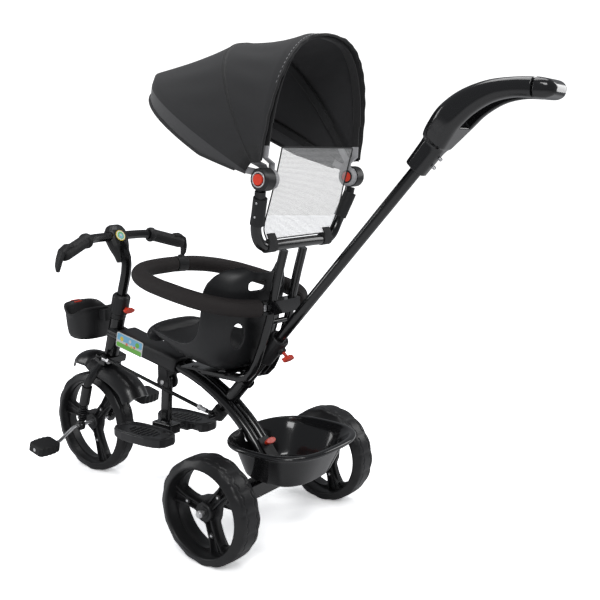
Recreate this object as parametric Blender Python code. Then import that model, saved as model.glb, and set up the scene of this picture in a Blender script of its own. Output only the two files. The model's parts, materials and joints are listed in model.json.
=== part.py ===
"""Child's push tricycle: a steered front wheel with pedals, a bucket seat in a padded guard ring,
a folding canopy on a hoop behind the seat, and a push bar that turns the front fork through a rod."""

import math

import bmesh
import bpy
import numpy as np
from mathutils import Matrix, Vector

# Lengths are in metres. The tricycle faces -Y, +X is the rider's left and +Z is up.
# Every place below is measured from the ground point under the middle of the rear axle.
REAR_AXLE_Y = 0.0609
GAP = 0.0003
RUNNING_GAP = 0.0005

# Wheels
REAR_WHEEL_R = 0.105
REAR_WHEEL_W = 0.062
REAR_TRACK = 0.389
REAR_AXLE_R = 0.005
FRONT_WHEEL_R = 0.1215
FRONT_WHEEL_W = 0.046
FRONT_AXLE_Y = -0.554
FRONT_AXLE_R = 0.0045
WHEEL_SPOKES = 3
TREAD_LOBES = 16
TREAD_DIP = 0.0014
SPOKE_TURN = math.radians(48)
SPOKE_W = 0.022
RIM_LIP = 0.020
SPOKE_DISC_W = 0.016
HUB_R = 0.019
AXLE_END = 0.012

# Steering axis, taken from the bottom of the head tube
HEAD_Y = -0.487
HEAD_Z = 0.300
RAKE = math.radians(16.4)
HEAD_TUBE_R = 0.0175
HEAD_TUBE_L = 0.092
STEERER_R = 0.0115
STEM_R = 0.0115
FORK_X = 0.046
FORK_LEG_R = 0.0095
CROWN_T = 0.018
CROWN_DEPTH = 0.034
CROWN_DROP = 0.003
FORK_TOP_X = 0.024
BOOT_R = 0.0122
BOOT_L = 0.046
SPRING_R = 0.0112
SPRING_WIRE_R = 0.0014
SPRING_CURLS = 7
SPRING_L = 0.046
CURL_POINTS = 8
FENDER_HALF_W = 0.036
FENDER_SKIRT = 0.030
FENDER_T = 0.0025
# The fender's middle line ahead of the crown and behind it, in the steering frame
FENDER_FRONT = (
    (-0.1080, -0.0720), (-0.1010, -0.0510), (-0.0850, -0.0330),
    (-0.0640, -0.0215), (-0.0440, -0.0170), (-0.0300, -0.0195),
)
FENDER_REAR = ((0.0750, -0.0300), (0.1000, -0.0400), (0.1200, -0.0580))
FENDER_NARROWING = 0.42
FENDER_NARROW_END = 0.22
FENDER_SHALLOWING = 0.5
FENDER_SHALLOW_END = 0.30
DROPOUT_R = 0.0125
COLLAR_R = 0.021
COLLAR_L = 0.058

# Pedals
CRANK_R = 0.080
CRANK_X = 0.0655
CRANK_ANGLE = math.radians(219.3)
PEDAL_L = 0.060
PEDAL_W = 0.056
PEDAL_T = 0.024
PEDAL_RIBS = 5

# Handlebar, in the steering frame
BAR_FORWARD = 0.048
BAR_UP = 0.276
BAR_R = 0.0105
BAR_HALF = 0.172
BAR_SWEEP = 0.036
GRIP_R = 0.0145
# The guard at each grip's end, from the bar's tip, and its share of the full width at each bend
BLADE_BENDS = (
    (-0.022, -0.004, 0.0185), (-0.004, -0.003, 0.0175), (0.0085, 0.0, 0.009),
    (0.013, 0.002, -0.008), (0.015, 0.003, -0.024), (0.013, 0.003, -0.036),
)
BLADE_SHARES = (0.55, 0.85, 1.0, 1.0, 0.85, 0.45)
BLADE_W = 0.022
BLADE_T = 0.0085

# Frame tubes
TWIN_X = 0.0135
TWIN_R = 0.012
# The twin tubes' depth and height at each bend, from the head tube down to the rear beam
TWIN_BENDS = (
    (-0.472, 0.3555), (-0.437, 0.3473), (-0.370, 0.332), (-0.309, 0.320), (-0.250, 0.306),
    (-0.178, 0.2815), (-0.110, 0.2415), (-0.058, 0.197), (-0.022, 0.1525), (0.000, 0.106),
)
COVER_W = 0.060
COVER_H = 0.040
BEAM_W = 0.036
BEAM_H = 0.030
BEAM_HALF = 0.150

# Push bar, in a frame along its own axis
PUSH_Y = -0.0155
PUSH_Z = 0.367
PUSH_LEAN = math.radians(41.6)
PUSH_TUBE_R = 0.011
PUSH_TUBE_TOP = 0.545
PUSH_TUBE_BOTTOM = -0.058
CUP_R = 0.0140
CUP_TOP = 0.050
CUP_BOTTOM = -0.0835
SHAFT_R = 0.0042
SHAFT_END = -0.214
BEARING_R = 0.0150
BEARING_TOP = -0.0840
BEARING_BOTTOM = -0.1435
SOCKET_COLLAR_R = 0.0205
SOCKET_COLLAR_L = 0.068
LEVER_AT = -0.199
LEVER_R = 0.0165
LEVER_T = 0.022
LINK_X = 0.036
LINK_PIN_R = 0.003
LINK_RISE = 0.016
LINK_TILT = math.radians(2.5)
ROD_R = 0.0042
HANDLE_W = 0.080
HANDLE_BAR_W = 0.020
# The handle's middle line (depth and height), its thickness and its share of the full width
HANDLE_STATIONS = (
    (0.3120, 0.7400, 0.041, 0.425), (0.3440, 0.7780, 0.044, 0.45), (0.3510, 0.7870, 0.049, 0.625),
    (0.3640, 0.8030, 0.051, 0.80), (0.3850, 0.8250, 0.050, 1.0), (0.4140, 0.8465, 0.045, 1.0),
    (0.4520, 0.8620, 0.037, 1.0), (0.4900, 0.8670, 0.032, 1.0), (0.5250, 0.8655, 0.032, 1.0),
    (0.5440, 0.8630, 0.030, 0.92), (0.5520, 0.8618, 0.022, 0.80),
)
HANDLE_HOLE = ((0.386, 0.8260), (0.414, 0.8465), (0.452, 0.8620), (0.490, 0.8670), (0.514, 0.8665))

# Canopy hoop and posts
POST_X = 0.0305
POST_R = 0.0092
# The posts' depth and height at each bend, from the hoop down to the seat
POST_BENDS = (
    (0.050, 0.584), (0.037, 0.540), (0.025, 0.493), (0.014, 0.443), (-0.002, 0.395),
    (-0.020, 0.352), (-0.030, 0.334), (-0.044, 0.320),
)
CROSSBAR_R = 0.0055
CROSSBAR_Y = 0.0130
CROSSBAR_Z = 0.438
HOOP_R = 0.010
HOOP_Y = 0.0596
HOOP_Z = 0.5967
HUB_X = 0.1435
HUB_Y = 0.0903
HUB_Z = 0.720
CANOPY_HUB_R = 0.0205
CANOPY_HUB_T = 0.025
PIVOT_R = 0.0125
BUTTON_R = 0.0098
BUTTON_OUT = 0.003
EYE_R = 0.0185
STRAP_T = 0.003
STRAP_W = 0.012
EYE_STEP = 0.0037
BOW_RISE = 0.0225
BOW_RISE_STEP = 0.0026
BOW_FLARE = 0.011
MID_BOW_H = 0.2840
REAR_BOW_H = 0.891 * MID_BOW_H
REAR_BOW_W = 0.1435
REAR_BOW_LEAN = math.radians(6.4)
MID_BOW_W = 0.1475
MID_BOW_LEAN = math.radians(-29.4)
FRONT_BOW_H = 0.4180
FRONT_BOW_W = 0.1515
FRONT_BOW_LEAN = math.radians(-61.5)
ARCH_POWER = 2.6
FRONT_ARCH_POWER = 2.2
BRIM_DROP = 0.026
FABRIC_T = 0.002
FABRIC_OUT = 0.0035
CLOTH_HALF_W = 0.1550
HEM_ANGLE = 0.06
REAR_EDGE_LEAN = math.radians(10.0)

# The net's height, depth and half width, from its lower edge up
NET_ROWS = (
    (0.6095, 0.0605, 0.0980), (0.6320, 0.0650, 0.1115), (0.6700, 0.0780, 0.1155),
    (0.7000, 0.0865, 0.1152), (0.7480, 0.1000, 0.1142),
)

# Seat and guard ring
SEAT_T = 0.006
SEAT_LIP_Y = -0.280
SEAT_LIP_Z = 0.386
SEAT_LIP_R = 0.018
SEAT_LIP_H = 0.044
SEAT_LIP_HALF = 0.087
SEAT_LIP_BEND = 0.010
SEAT_PLATE_Z = 0.3235
SEAT_PLATE_T = 0.003
FOAM_R = 0.0172
RING_HALF_W = 0.1380
RING_FRONT_Y = -0.303
RING_REAR_Y = 0.0180
RING_FRONT_Z = 0.523
RING_REAR_Z = 0.470
RING_POWER = 2.75
GUARD_HINGE_X = 0.0475
GUARD_EAR_R = 0.0090
GUARD_BRACKET_H = 0.026
GUARD_BRACKET_WALL = 0.005
CLIP_HALF = 0.013
CLIP_X = 0.045

# Rear basket
BASKET_HALF_X = 0.129
BASKET_HALF_Y = 0.113
BASKET_Y = 0.045
BASKET_FRONT_POWER = 0.80
BASKET_REAR_POWER = 0.72
BASKET_FRONT_STEEP = 0.42
BASKET_RIM_Z = 0.208
BASKET_FLOOR_Z = 0.1265
BASKET_T = 0.003
BASKET_CLEAR = 0.0015
BASKET_TAB_Y = -0.0201
BASKET_TAB_Z = 0.1747
KNOB_LEAN = math.radians(51)

# Front bucket
BUCKET_FRONT_Y = -0.118
BUCKET_REAR_Y = -0.024
BUCKET_HALF_X = 0.058
BUCKET_TOP = 0.405
BUCKET_BOTTOM = 0.331
BUCKET_T = 0.0025

# Footrest
FOOT_PIVOT_Y = -0.303
FOOT_PIVOT_Z = 0.262
FOOT_Y = -0.311
PAD_Z = 0.152
PAD_HALF_L = 0.0800
PAD_W = 0.074
PAD_T = 0.021
PAD_HINGE_X = 0.029
FOOT_KNUCKLE_R = 0.0185
FOOT_BAR_HALF_W = 0.0165

BLACK = (0.012, 0.012, 0.013)
DARK_GREY = (0.035, 0.035, 0.037)
RED = (0.80, 0.045, 0.020)
STEEL = (0.62, 0.62, 0.63)
GREY = (0.32, 0.32, 0.33)
CLOTH = (0.045, 0.045, 0.048)
NET = (0.80, 0.80, 0.80)
FOAM = (0.020, 0.016, 0.016)


def clear_scene():
    """Remove whatever the scene holds, so that the model stands alone."""
    for obj in list(bpy.data.objects):
        bpy.data.objects.remove(obj, do_unlink=True)


def material(name, colour, roughness, metallic=0.0):
    """A plain surface of one colour."""
    mat = bpy.data.materials.new(name)
    mat.use_nodes = True
    shader = mat.node_tree.nodes["Principled BSDF"]
    shader.inputs["Base Color"].default_value = (*colour, 1.0)
    shader.inputs["Roughness"].default_value = roughness
    shader.inputs["Metallic"].default_value = metallic
    return mat


def pivot(name, parent, location, rotation=(0.0, 0.0, 0.0)):
    """An empty on a joint's axis, which the moving pieces hang from."""
    empty = bpy.data.objects.new(name, None)
    bpy.context.scene.collection.objects.link(empty)
    empty.parent = parent
    empty.location = location
    empty.rotation_euler = rotation
    return empty


def place(name, data, mat, parent, location=(0.0, 0.0, 0.0), rotation=(0.0, 0.0, 0.0)):
    """Link one object, with its material, under its parent."""
    obj = bpy.data.objects.new(name, data)
    bpy.context.scene.collection.objects.link(obj)
    obj.parent = parent
    obj.location = location
    obj.rotation_euler = rotation
    if mat is not None:
        data.materials.append(mat)
    return obj


def mesh_from(name, points, faces, smooth=40.0):
    """A mesh with its faces turned outwards and its round stretches shaded smooth."""
    mesh = bpy.data.meshes.new(name)
    mesh.from_pydata([tuple(p) for p in points], [], faces)
    work = bmesh.new()
    work.from_mesh(mesh)
    bmesh.ops.remove_doubles(work, verts=work.verts, dist=0.00001)
    bmesh.ops.recalc_face_normals(work, faces=work.faces)
    work.to_mesh(mesh)
    work.free()
    mesh.shade_smooth()
    mesh.set_sharp_from_angle(angle=math.radians(smooth))
    return mesh


def rings_mesh(name, rings, closed=False, smooth=40.0):
    """Skin a list of rings with equal counts, capping the two ends unless it closes on itself."""
    count = len(rings[0])
    points = [p for ring in rings for p in ring]
    faces = []
    spans = len(rings) if closed else len(rings) - 1
    for i in range(spans):
        a = i * count
        b = ((i + 1) % len(rings)) * count
        for j in range(count):
            k = (j + 1) % count
            faces.append((a + j, a + k, b + k, b + j))
    if not closed:
        faces.append(tuple(range(count)))
        faces.append(tuple(reversed(range(len(points) - count, len(points)))))
    return mesh_from(name, points, faces, smooth)


def turned(name, profile, steps=32, smooth=40.0):
    """Turn a closed outline of (radius, height) points about Z."""
    rings = []
    for i in range(steps):
        turn = 2 * math.pi * i / steps
        rings.append([(r * math.cos(turn), r * math.sin(turn), z) for r, z in profile])
    return rings_mesh(name, rings, closed=True, smooth=smooth)


def barrel(name, radius, low, high, steps=24, edge=0.0):
    """A plain cylinder about Z, with a chamfer where an edge is given."""
    section = [(radius - edge, low), (radius, low + edge), (radius, high - edge), (radius - edge, high)]
    if edge == 0.0:
        section = [(radius, low), (radius, high)]
    rings = [circle(r, z, steps) for r, z in section]
    return rings_mesh(name, rings)


def circle(radius, height, steps):
    """Points of a level circle about Z."""
    turns = [2 * math.pi * i / steps for i in range(steps)]
    return [(radius * math.cos(t), radius * math.sin(t), height) for t in turns]


def block(name, low, high, bevel=0.0):
    """A box between two corners, with bevelled edges where a width is given."""
    work = bmesh.new()
    bmesh.ops.create_cube(work, size=1.0)
    size = Vector(high) - Vector(low)
    centre = (Vector(high) + Vector(low)) / 2
    bmesh.ops.scale(work, vec=size, verts=work.verts)
    bmesh.ops.translate(work, vec=centre, verts=work.verts)
    if bevel:
        bmesh.ops.bevel(work, geom=work.edges, offset=bevel, segments=2, profile=0.5, affect="EDGES")
    mesh = bpy.data.meshes.new(name)
    work.to_mesh(mesh)
    work.free()
    mesh.shade_smooth()
    mesh.set_sharp_from_angle(angle=math.radians(35))
    return mesh


def turn_mesh(mesh, matrix):
    """Turn or move a mesh's own points, and hand it back."""
    mesh.transform(matrix)
    return mesh


def along_x(mesh):
    """Lay a piece made about Z along +X."""
    return turn_mesh(mesh, Matrix.Rotation(math.pi / 2, 4, "Y"))


def mirror_x(mesh, name):
    """A mirrored copy of a mesh across X = 0."""
    copy = mesh.copy()
    copy.name = name
    copy.transform(Matrix.Scale(-1, 4, (1, 0, 0)))
    copy.flip_normals()
    copy.materials.clear()
    return copy


def smooth_route(points, per_span=4, closed=False):
    """Points along a Catmull-Rom curve through the given points."""
    given = [Vector(p) for p in points]
    count = len(given)
    out = []
    for i in range(count if closed else count - 1):
        if closed:
            a, b, c, d = (given[(i + k) % count] for k in (-1, 0, 1, 2))
        else:
            b, c = given[i], given[i + 1]
            a = given[i - 1] if i else b * 2 - c
            d = given[i + 2] if i + 2 < count else c * 2 - b
        for j in range(per_span):
            t = j / per_span
            out.append(0.5 * (2 * b + (c - a) * t + (2 * a - 5 * b + 4 * c - d) * t**2
                              + (3 * b - a - 3 * c + d) * t**3))
    if not closed:
        out.append(given[-1])
    return out


def spaced(route, count):
    """A route's points taken again at equal steps along it."""
    reach = [0.0]
    for a, b in zip(route, route[1:]):
        reach.append(reach[-1] + (b - a).length)
    out = []
    k = 0
    for i in range(count + 1):
        target = reach[-1] * i / count
        while k < len(route) - 2 and reach[k + 1] < target:
            k += 1
        share = (target - reach[k]) / (reach[k + 1] - reach[k])
        out.append(route[k].lerp(route[k + 1], share))
    return out


def longer(route, reach):
    """The same route, run on straight past both ends, as a bore's guide."""
    first = route[0] + (route[0] - route[1]).normalized() * reach
    last = route[-1] + (route[-1] - route[-2]).normalized() * reach
    return [first] + route + [last]


def tube(name, points, radius, mat, parent, rings=2, closed=False):
    """A round tube along a list of points, as a bevelled curve with filled caps."""
    curve = bpy.data.curves.new(name, "CURVE")
    curve.dimensions = "3D"
    curve.bevel_depth = radius
    curve.bevel_resolution = rings
    curve.use_fill_caps = True
    line = curve.splines.new("POLY")
    line.points.add(len(points) - 1)
    for target, point in zip(line.points, points):
        target.co = (*point, 1.0)
    line.use_cyclic_u = closed
    line.use_smooth = True
    return place(name, curve, mat, parent)


def tube_mesh(name, points, radius, rings=2):
    """The same tube as a mesh, for joining to other shapes."""
    obj = tube(name + "_guide", points, radius, None, None, rings)
    graph = bpy.context.evaluated_depsgraph_get()
    mesh = bpy.data.meshes.new_from_object(obj.evaluated_get(graph))
    mesh.name = name
    bpy.data.objects.remove(obj, do_unlink=True)
    work = bmesh.new()
    work.from_mesh(mesh)
    bmesh.ops.remove_doubles(work, verts=work.verts, dist=0.00001)
    bmesh.ops.recalc_face_normals(work, faces=work.faces)
    work.to_mesh(mesh)
    work.free()
    return mesh


def swept(name, points, sections, closed=False, up=(1.0, 0.0, 0.0), smooth=40.0):
    """Sweep flat sections along a path. One section's axes are the up direction and its normal."""
    up = Vector(up)
    rings = []
    count = len(points)
    for i, point in enumerate(points):
        before = points[(i - 1) % count] if closed or i else point
        after = points[(i + 1) % count] if closed or i < count - 1 else point
        ahead = (Vector(after) - Vector(before)).normalized()
        side = (up - ahead * up.dot(ahead)).normalized()
        normal = ahead.cross(side)
        section = sections[i] if isinstance(sections[0][0], (list, tuple)) else sections
        rings.append([Vector(point) + side * u + normal * v for u, v in section])
    return rings_mesh(name, rings, closed, smooth)


def rounded(width, height, corner, steps=3):
    """A rounded rectangle of points, as a section."""
    out = []
    for cx, cy, start in ((1, 1, 0), (-1, 1, 90), (-1, -1, 180), (1, -1, 270)):
        for i in range(steps + 1):
            turn = math.radians(start + 90 * i / steps)
            out.append((cx * (width / 2 - corner) + corner * math.cos(turn),
                        cy * (height / 2 - corner) + corner * math.sin(turn)))
    return out


def oval(width, height, steps=16):
    """An elliptic section."""
    turns = [2 * math.pi * i / steps for i in range(steps)]
    return [(width / 2 * math.cos(t), height / 2 * math.sin(t)) for t in turns]


def boolean(obj, mesh, operation, location=(0.0, 0.0, 0.0), rotation=(0.0, 0.0, 0.0)):
    """Cut a mesh from an object, or join it on, with a helper that isn't rendered."""
    name = f"{obj.name}_{operation.lower()}_{len(obj.modifiers)}"
    helper = place(name, mesh, None, obj.parent, location, rotation)
    helper.display_type = "WIRE"
    helper.hide_render = True
    step = obj.modifiers.new(name, "BOOLEAN")
    step.operation = operation
    step.object = helper
    step.solver = "EXACT"
    return helper


def cut(obj, mesh, location=(0.0, 0.0, 0.0), rotation=(0.0, 0.0, 0.0)):
    """Take a mesh's volume out of an object."""
    return boolean(obj, mesh, "DIFFERENCE", location, rotation)


def join(obj, mesh, location=(0.0, 0.0, 0.0), rotation=(0.0, 0.0, 0.0)):
    """Add a mesh's volume to an object."""
    return boolean(obj, mesh, "UNION", location, rotation)


def moved(mesh, x=0.0, y=0.0, z=0.0):
    """Shift a mesh's own points, and hand it back."""
    return turn_mesh(mesh, Matrix.Translation((x, y, z)))


def shell_mesh(name, inner, outer, smooth=60.0):
    """Close two grids of equal size into one thin solid."""
    rows, cols = len(inner), len(inner[0])
    points = [p for row in inner for p in row] + [p for row in outer for p in row]
    shift = rows * cols
    faces = []
    for i in range(rows - 1):
        for j in range(cols - 1):
            a, b = i * cols + j, i * cols + j + 1
            c, d = (i + 1) * cols + j + 1, (i + 1) * cols + j
            faces.append((a, b, c, d))
            faces.append((shift + d, shift + c, shift + b, shift + a))
    edge = [i * cols for i in range(rows)]
    edge += [(rows - 1) * cols + j for j in range(1, cols)]
    edge += [i * cols + cols - 1 for i in range(rows - 2, -1, -1)]
    edge += [j for j in range(cols - 2, 0, -1)]
    for a, b in zip(edge, edge[1:] + edge[:1]):
        faces.append((a, b, shift + b, shift + a))
    return mesh_from(name, points, faces, smooth)


def thick_sheet(name, grid, thickness):
    """Give a grid of points its thickness, half to each side along its own normals."""
    rows, cols = len(grid), len(grid[0])
    inner, outer = [], []
    for i in range(rows):
        row_in, row_out = [], []
        for j in range(cols):
            along = grid[min(i + 1, rows - 1)][j] - grid[max(i - 1, 0)][j]
            across = grid[i][min(j + 1, cols - 1)] - grid[i][max(j - 1, 0)]
            normal = across.cross(along).normalized()
            row_in.append(grid[i][j] + normal * thickness / 2)
            row_out.append(grid[i][j] - normal * thickness / 2)
        inner.append(row_in)
        outer.append(row_out)
    return shell_mesh(name, inner, outer, smooth=60.0)


def wheel_mesh(name, radius, width, bore):
    """A moulded wheel about Z: a faceted tread, deep rims and a thin spoked disc."""
    half = width / 2
    lip = radius - RIM_LIP
    outline = [
        (bore, -half * 0.62), (HUB_R, -half * 0.62), (lip - 0.006, -SPOKE_DISC_W / 2), (lip, -half),
        (radius, -half * 0.62), (radius, half * 0.62), (lip, half), (lip - 0.006, SPOKE_DISC_W / 2),
        (HUB_R, half * 0.62), (bore, half * 0.62),
    ]
    steps = 2 * TREAD_LOBES
    rings = []
    for i in range(steps):
        turn = 2 * math.pi * i / steps
        dip = TREAD_DIP * (i % 2)
        rings.append([((r - dip * (r > lip + 0.001)) * math.cos(turn),
                       (r - dip * (r > lip + 0.001)) * math.sin(turn), z) for r, z in outline])
    return rings_mesh(name, rings, closed=True)


def window_mesh(name, inner, outer, depth, turn):
    """A window between two spokes: a curved sector whose sides follow straight spokes."""
    section = []

    def corner(reach, share):
        spread = math.pi / WHEEL_SPOKES - math.asin(SPOKE_W / 2 / reach)
        section.append((reach * math.cos(turn + spread * share), reach * math.sin(turn + spread * share)))

    corner(outer - 0.006, -1.0)
    for share in (-0.90, -0.45, 0.0, 0.45, 0.90):
        corner(outer, share)
    corner(outer - 0.006, 1.0)
    for share in (0.90, 0.0, -0.90):
        corner(inner, share)
    rings = [[(x, y, z) for x, y in section] for z in (-depth, depth)]
    return rings_mesh(name, rings)


def add_wheel(name, radius, width, bore, mat, parent):
    """One wheel on an axle along X, with a window between each two spokes."""
    wheel = place(name, wheel_mesh(name, radius, width, bore), mat, parent, rotation=(0, math.pi / 2, 0))
    inner = HUB_R + 0.006
    outer = radius - RIM_LIP - 0.008
    for i in range(WHEEL_SPOKES):
        turn = SPOKE_TURN + math.pi / WHEEL_SPOKES + 2 * math.pi * i / WHEEL_SPOKES
        hole = window_mesh(f"{name}_window_{i}", inner, outer, width, turn + math.pi / 2)
        cut(wheel, hole, rotation=(0, math.pi / 2, 0))
    return wheel


def in_steering(x, y, z):
    """Turn a place measured from the ground into the steering frame."""
    offset = Vector((x, y - HEAD_Y, z - HEAD_Z))
    return Matrix.Rotation(RAKE, 3, "X") @ offset


def from_steering(point):
    """Turn a place in the steering frame into one measured from the ground."""
    offset = Matrix.Rotation(-RAKE, 3, "X") @ Vector(point)
    return Vector((offset.x, offset.y + HEAD_Y, offset.z + HEAD_Z))


def push_place(along, x=0.0):
    """A place on the push bar's axis, measured from the ground."""
    return Vector((x, PUSH_Y + along * math.sin(PUSH_LEAN), PUSH_Z + along * math.cos(PUSH_LEAN)))


def twin_route(sign):
    """The middle line of one of the twin tubes, from the head tube down to the rear beam."""
    return smooth_route([(sign * TWIN_X, y, z) for y, z in TWIN_BENDS], 2)


def cover_mesh(name, out=0.0):
    """The solid outline of the moulded cover, which wraps the twin tubes from the head tube to the seat."""
    line = [(0, y, z + 0.001) for _, y, z in twin_route(1)][2:9]
    return swept(name, line, rounded(COVER_W + 2 * out, COVER_H + 2 * out, 0.009, 2))


def add_frame(root, mats):
    """The welded frame: head tube, twin tubes, rear beam and the moulded cover behind the head."""
    bore = STEERER_R + RUNNING_GAP
    outline = [(bore, 0), (HEAD_TUBE_R, 0), (HEAD_TUBE_R, HEAD_TUBE_L), (bore, HEAD_TUBE_L)]
    place("head_tube", turned("head_tube", outline, 20), mats["paint"], root,
          (0, HEAD_Y, HEAD_Z), (-RAKE, 0, 0))

    # The twin tubes start behind the head tube, part round the steering shaft and meet the rear beam.
    shaft_way = barrel("shaft_way", SHAFT_R + RUNNING_GAP, SHAFT_END, BEARING_BOTTOM + 0.02, 16)
    head_way = barrel("head_way", HEAD_TUBE_R + GAP, -0.1, 0.2, 24)
    beam_way = block("beam_way", (-0.1, -0.05, 0), (0.1, 0.05, REAR_WHEEL_R + BEAM_H / 2 + GAP))
    for side, sign in (("left", 1), ("right", -1)):
        twin = place(f"twin_tube_{side}", tube_mesh(f"twin_tube_{side}", twin_route(sign), TWIN_R, 3),
                     mats["paint"], root)
        cut(twin, shaft_way.copy(), (0, PUSH_Y, PUSH_Z), (-PUSH_LEAN, 0, 0))
        cut(twin, head_way.copy(), (0, HEAD_Y, HEAD_Z), (-RAKE, 0, 0))
        cut(twin, beam_way.copy())

    cover = place("frame_cover", cover_mesh("frame_cover"), mats["plastic"], root)
    for sign in (1, -1):
        cut(cover, tube_mesh("cover_bore", longer(twin_route(sign)[:11], 0.03), TWIN_R + GAP, 3))
    cut(cover, barrel("cover_head", HEAD_TUBE_R + 2 * GAP, -0.1, 0.2, 24),
        (0, HEAD_Y, HEAD_Z), (-RAKE, 0, 0))

    beam_top = REAR_WHEEL_R + BEAM_H / 2
    beam = block("axle_beam", (-BEAM_HALF, -BEAM_W / 2, REAR_WHEEL_R - BEAM_H / 2),
                 (BEAM_HALF, BEAM_W / 2, beam_top), 0.003)
    beam = place("axle_beam", beam, mats["paint"], root)
    cut(beam, along_x(barrel("beam_bore", REAR_AXLE_R + GAP, -0.2, 0.2, 16)), (0, 0, REAR_WHEEL_R))
    half = REAR_TRACK / 2 + REAR_WHEEL_W / 2 + AXLE_END * 0.2
    place("rear_axle", along_x(barrel("rear_axle", REAR_AXLE_R, -half, half, 12)),
          mats["steel"], root, (0, 0, REAR_WHEEL_R))


def post_route(sign):
    """The middle line of a post: down from the canopy hoop, then forward under the seat plate."""
    under = SEAT_PLATE_Z - POST_R - GAP
    bent = POST_BENDS + ((-0.064, under), (-0.090, under), (-0.165, under))
    return smooth_route([(sign * POST_X, y, z) for y, z in bent], 1)


def height_place(route, height):
    """The place where a falling route passes one height."""
    for a, b in zip(route, route[1:]):
        if a.z >= height > b.z:
            return a.lerp(b, (a.z - height) / (a.z - b.z))
    return route[-1]


def add_seat_carrier(root, mats):
    """Two bent posts, which run forward under the seat, and the plate on them."""
    for side, sign in (("left", 1), ("right", -1)):
        tube(f"post_{side}", post_route(sign), POST_R, mats["paint"], root, rings=3)
    half = POST_X - POST_R - GAP
    place("post_crossbar", along_x(barrel("post_crossbar", CROSSBAR_R, -half, half, 12)), mats["paint"], root,
          (0, CROSSBAR_Y, CROSSBAR_Z))

    plate = block("seat_plate", (-0.066, -0.195, SEAT_PLATE_Z),
                  (0.066, -0.0745, SEAT_PLATE_Z + SEAT_PLATE_T))
    plate = place("seat_plate", plate, mats["paint"], root)
    for x in (-0.050, 0.050):
        for y in (-0.098, -0.168):
            cut(plate, barrel("plate_hole", 0.010, -0.01, 0.01, 10), (x, y, SEAT_PLATE_Z))


def seat_mesh():
    """The bucket seat as one shell, skinned over its middle line and its raised edge."""
    low = SEAT_PLATE_Z + SEAT_PLATE_T + GAP + SEAT_T / 2
    # Each station holds the middle line's y and z, then the left edge's x, y and z.
    stations = [
        (SEAT_LIP_Y + 0.003, SEAT_LIP_Z + 0.010, 0.077, SEAT_LIP_Y + 0.012, SEAT_LIP_Z + 0.014),
        (-0.261, 0.384, 0.083, -0.254, 0.401), (-0.236, 0.368, 0.086, -0.228, 0.396),
        (-0.195, 0.350, 0.090, -0.185, 0.387),
        (-0.150, low + 0.007, 0.094, -0.148, 0.388), (-0.107, low, 0.098, -0.122, 0.402),
        (-0.082, low + 0.001, 0.100, -0.110, 0.424), (-0.060, low + 0.017, 0.101, -0.104, 0.450),
        (-0.040, low + 0.058, 0.101, -0.100, 0.480), (-0.028, low + 0.110, 0.100, -0.092, 0.507),
        (-0.020, low + 0.152, 0.095, -0.074, 0.528), (-0.013, low + 0.185, 0.079, -0.056, 0.540),
        (-0.008, low + 0.205, 0.052, -0.034, 0.5465),
    ]
    across = 10
    middle = []
    for y, z, ex, ey, ez in stations:
        row = []
        for j in range(across + 1):
            v = -1 + 2 * j / across
            x = ex * math.sin(v * 1.45) / math.sin(1.45)
            bend = abs(v) ** 2.7
            row.append(Vector((x, y + (ey - y) * bend, z + (ez - z) * bend)))
        middle.append(row)
    return thick_sheet("seat", middle, SEAT_T)


def lip_mesh():
    """The thick rolled lip across the seat's front edge, rounded off at both ends."""
    rings = []
    for i in range(7):
        share = math.sin(math.pi / 2 * (i - 3) / 3)
        round_off = max(1 - abs(share) ** 3.2, 0.04) ** 0.5
        back = SEAT_LIP_BEND * share * share
        ring = []
        for j in range(10):
            turn = 2 * math.pi * j / 10
            ring.append((SEAT_LIP_HALF * share, SEAT_LIP_Y + back - SEAT_LIP_R * round_off * math.sin(turn),
                         SEAT_LIP_Z + SEAT_LIP_H / 2 * round_off * math.cos(turn)))
        rings.append(ring)
    return rings_mesh("seat_lip", rings, smooth=60.0)


def add_seat(root, mats):
    """The seat on its plate, with its two belt slots and the openings at its rear corners."""
    seat = place("seat", seat_mesh(), mats["satin"], root)
    for sign in (1, -1):
        slot = swept("seat_slot", [(sign * 0.032, 0.1, 0.500), (sign * 0.032, -0.15, 0.520)],
                     rounded(0.042, 0.018, 0.004, 1), up=(1, 0, 0))
        cut(seat, slot)
        hole = swept("seat_side_hole", [(sign * 0.040, -0.075, 0.408), (sign * 0.120, 0.045, 0.412)],
                     oval(0.026, 0.052, 14), up=(0.8, -0.5, 0))
        cut(seat, hole)
    join(seat, lip_mesh())


def ring_point(turn):
    """A place on the guard ring's middle line. Zero is the rear, and half a turn is the front."""
    c, s = math.cos(turn), math.sin(turn)
    power = 2 / RING_POWER
    x = RING_HALF_W * math.copysign(abs(s) ** power, s)
    half = (RING_REAR_Y - RING_FRONT_Y) / 2
    y = (RING_REAR_Y + RING_FRONT_Y) / 2 + half * math.copysign(abs(c) ** power, c)
    share = (RING_REAR_Y - y) / (RING_REAR_Y - RING_FRONT_Y)
    z = RING_REAR_Z + (RING_FRONT_Z - RING_REAR_Z) * share
    return Vector((x, y, z))


def ring_turn(x):
    """The turn at which the ring's rear half passes one X."""
    return math.asin((x / RING_HALF_W) ** (RING_POWER / 2))


def ring_route(first, last, steps):
    """The ring's left side from one turn to another."""
    return [ring_point(first + (last - first) * i / steps) for i in range(steps + 1)]


def clip_mesh(name, half, width):
    """A short straight sleeve along the ring where its two halves meet."""
    middle = ring_point(math.pi + ring_turn(CLIP_X))
    before, after = (ring_point(math.pi + ring_turn(CLIP_X + reach)) for reach in (-CLIP_HALF, CLIP_HALF))
    way = (after - before).normalized() * half
    return swept(name, [middle - way, middle + way], oval(width, width, 18), up=(0, 1, 0))


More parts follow.
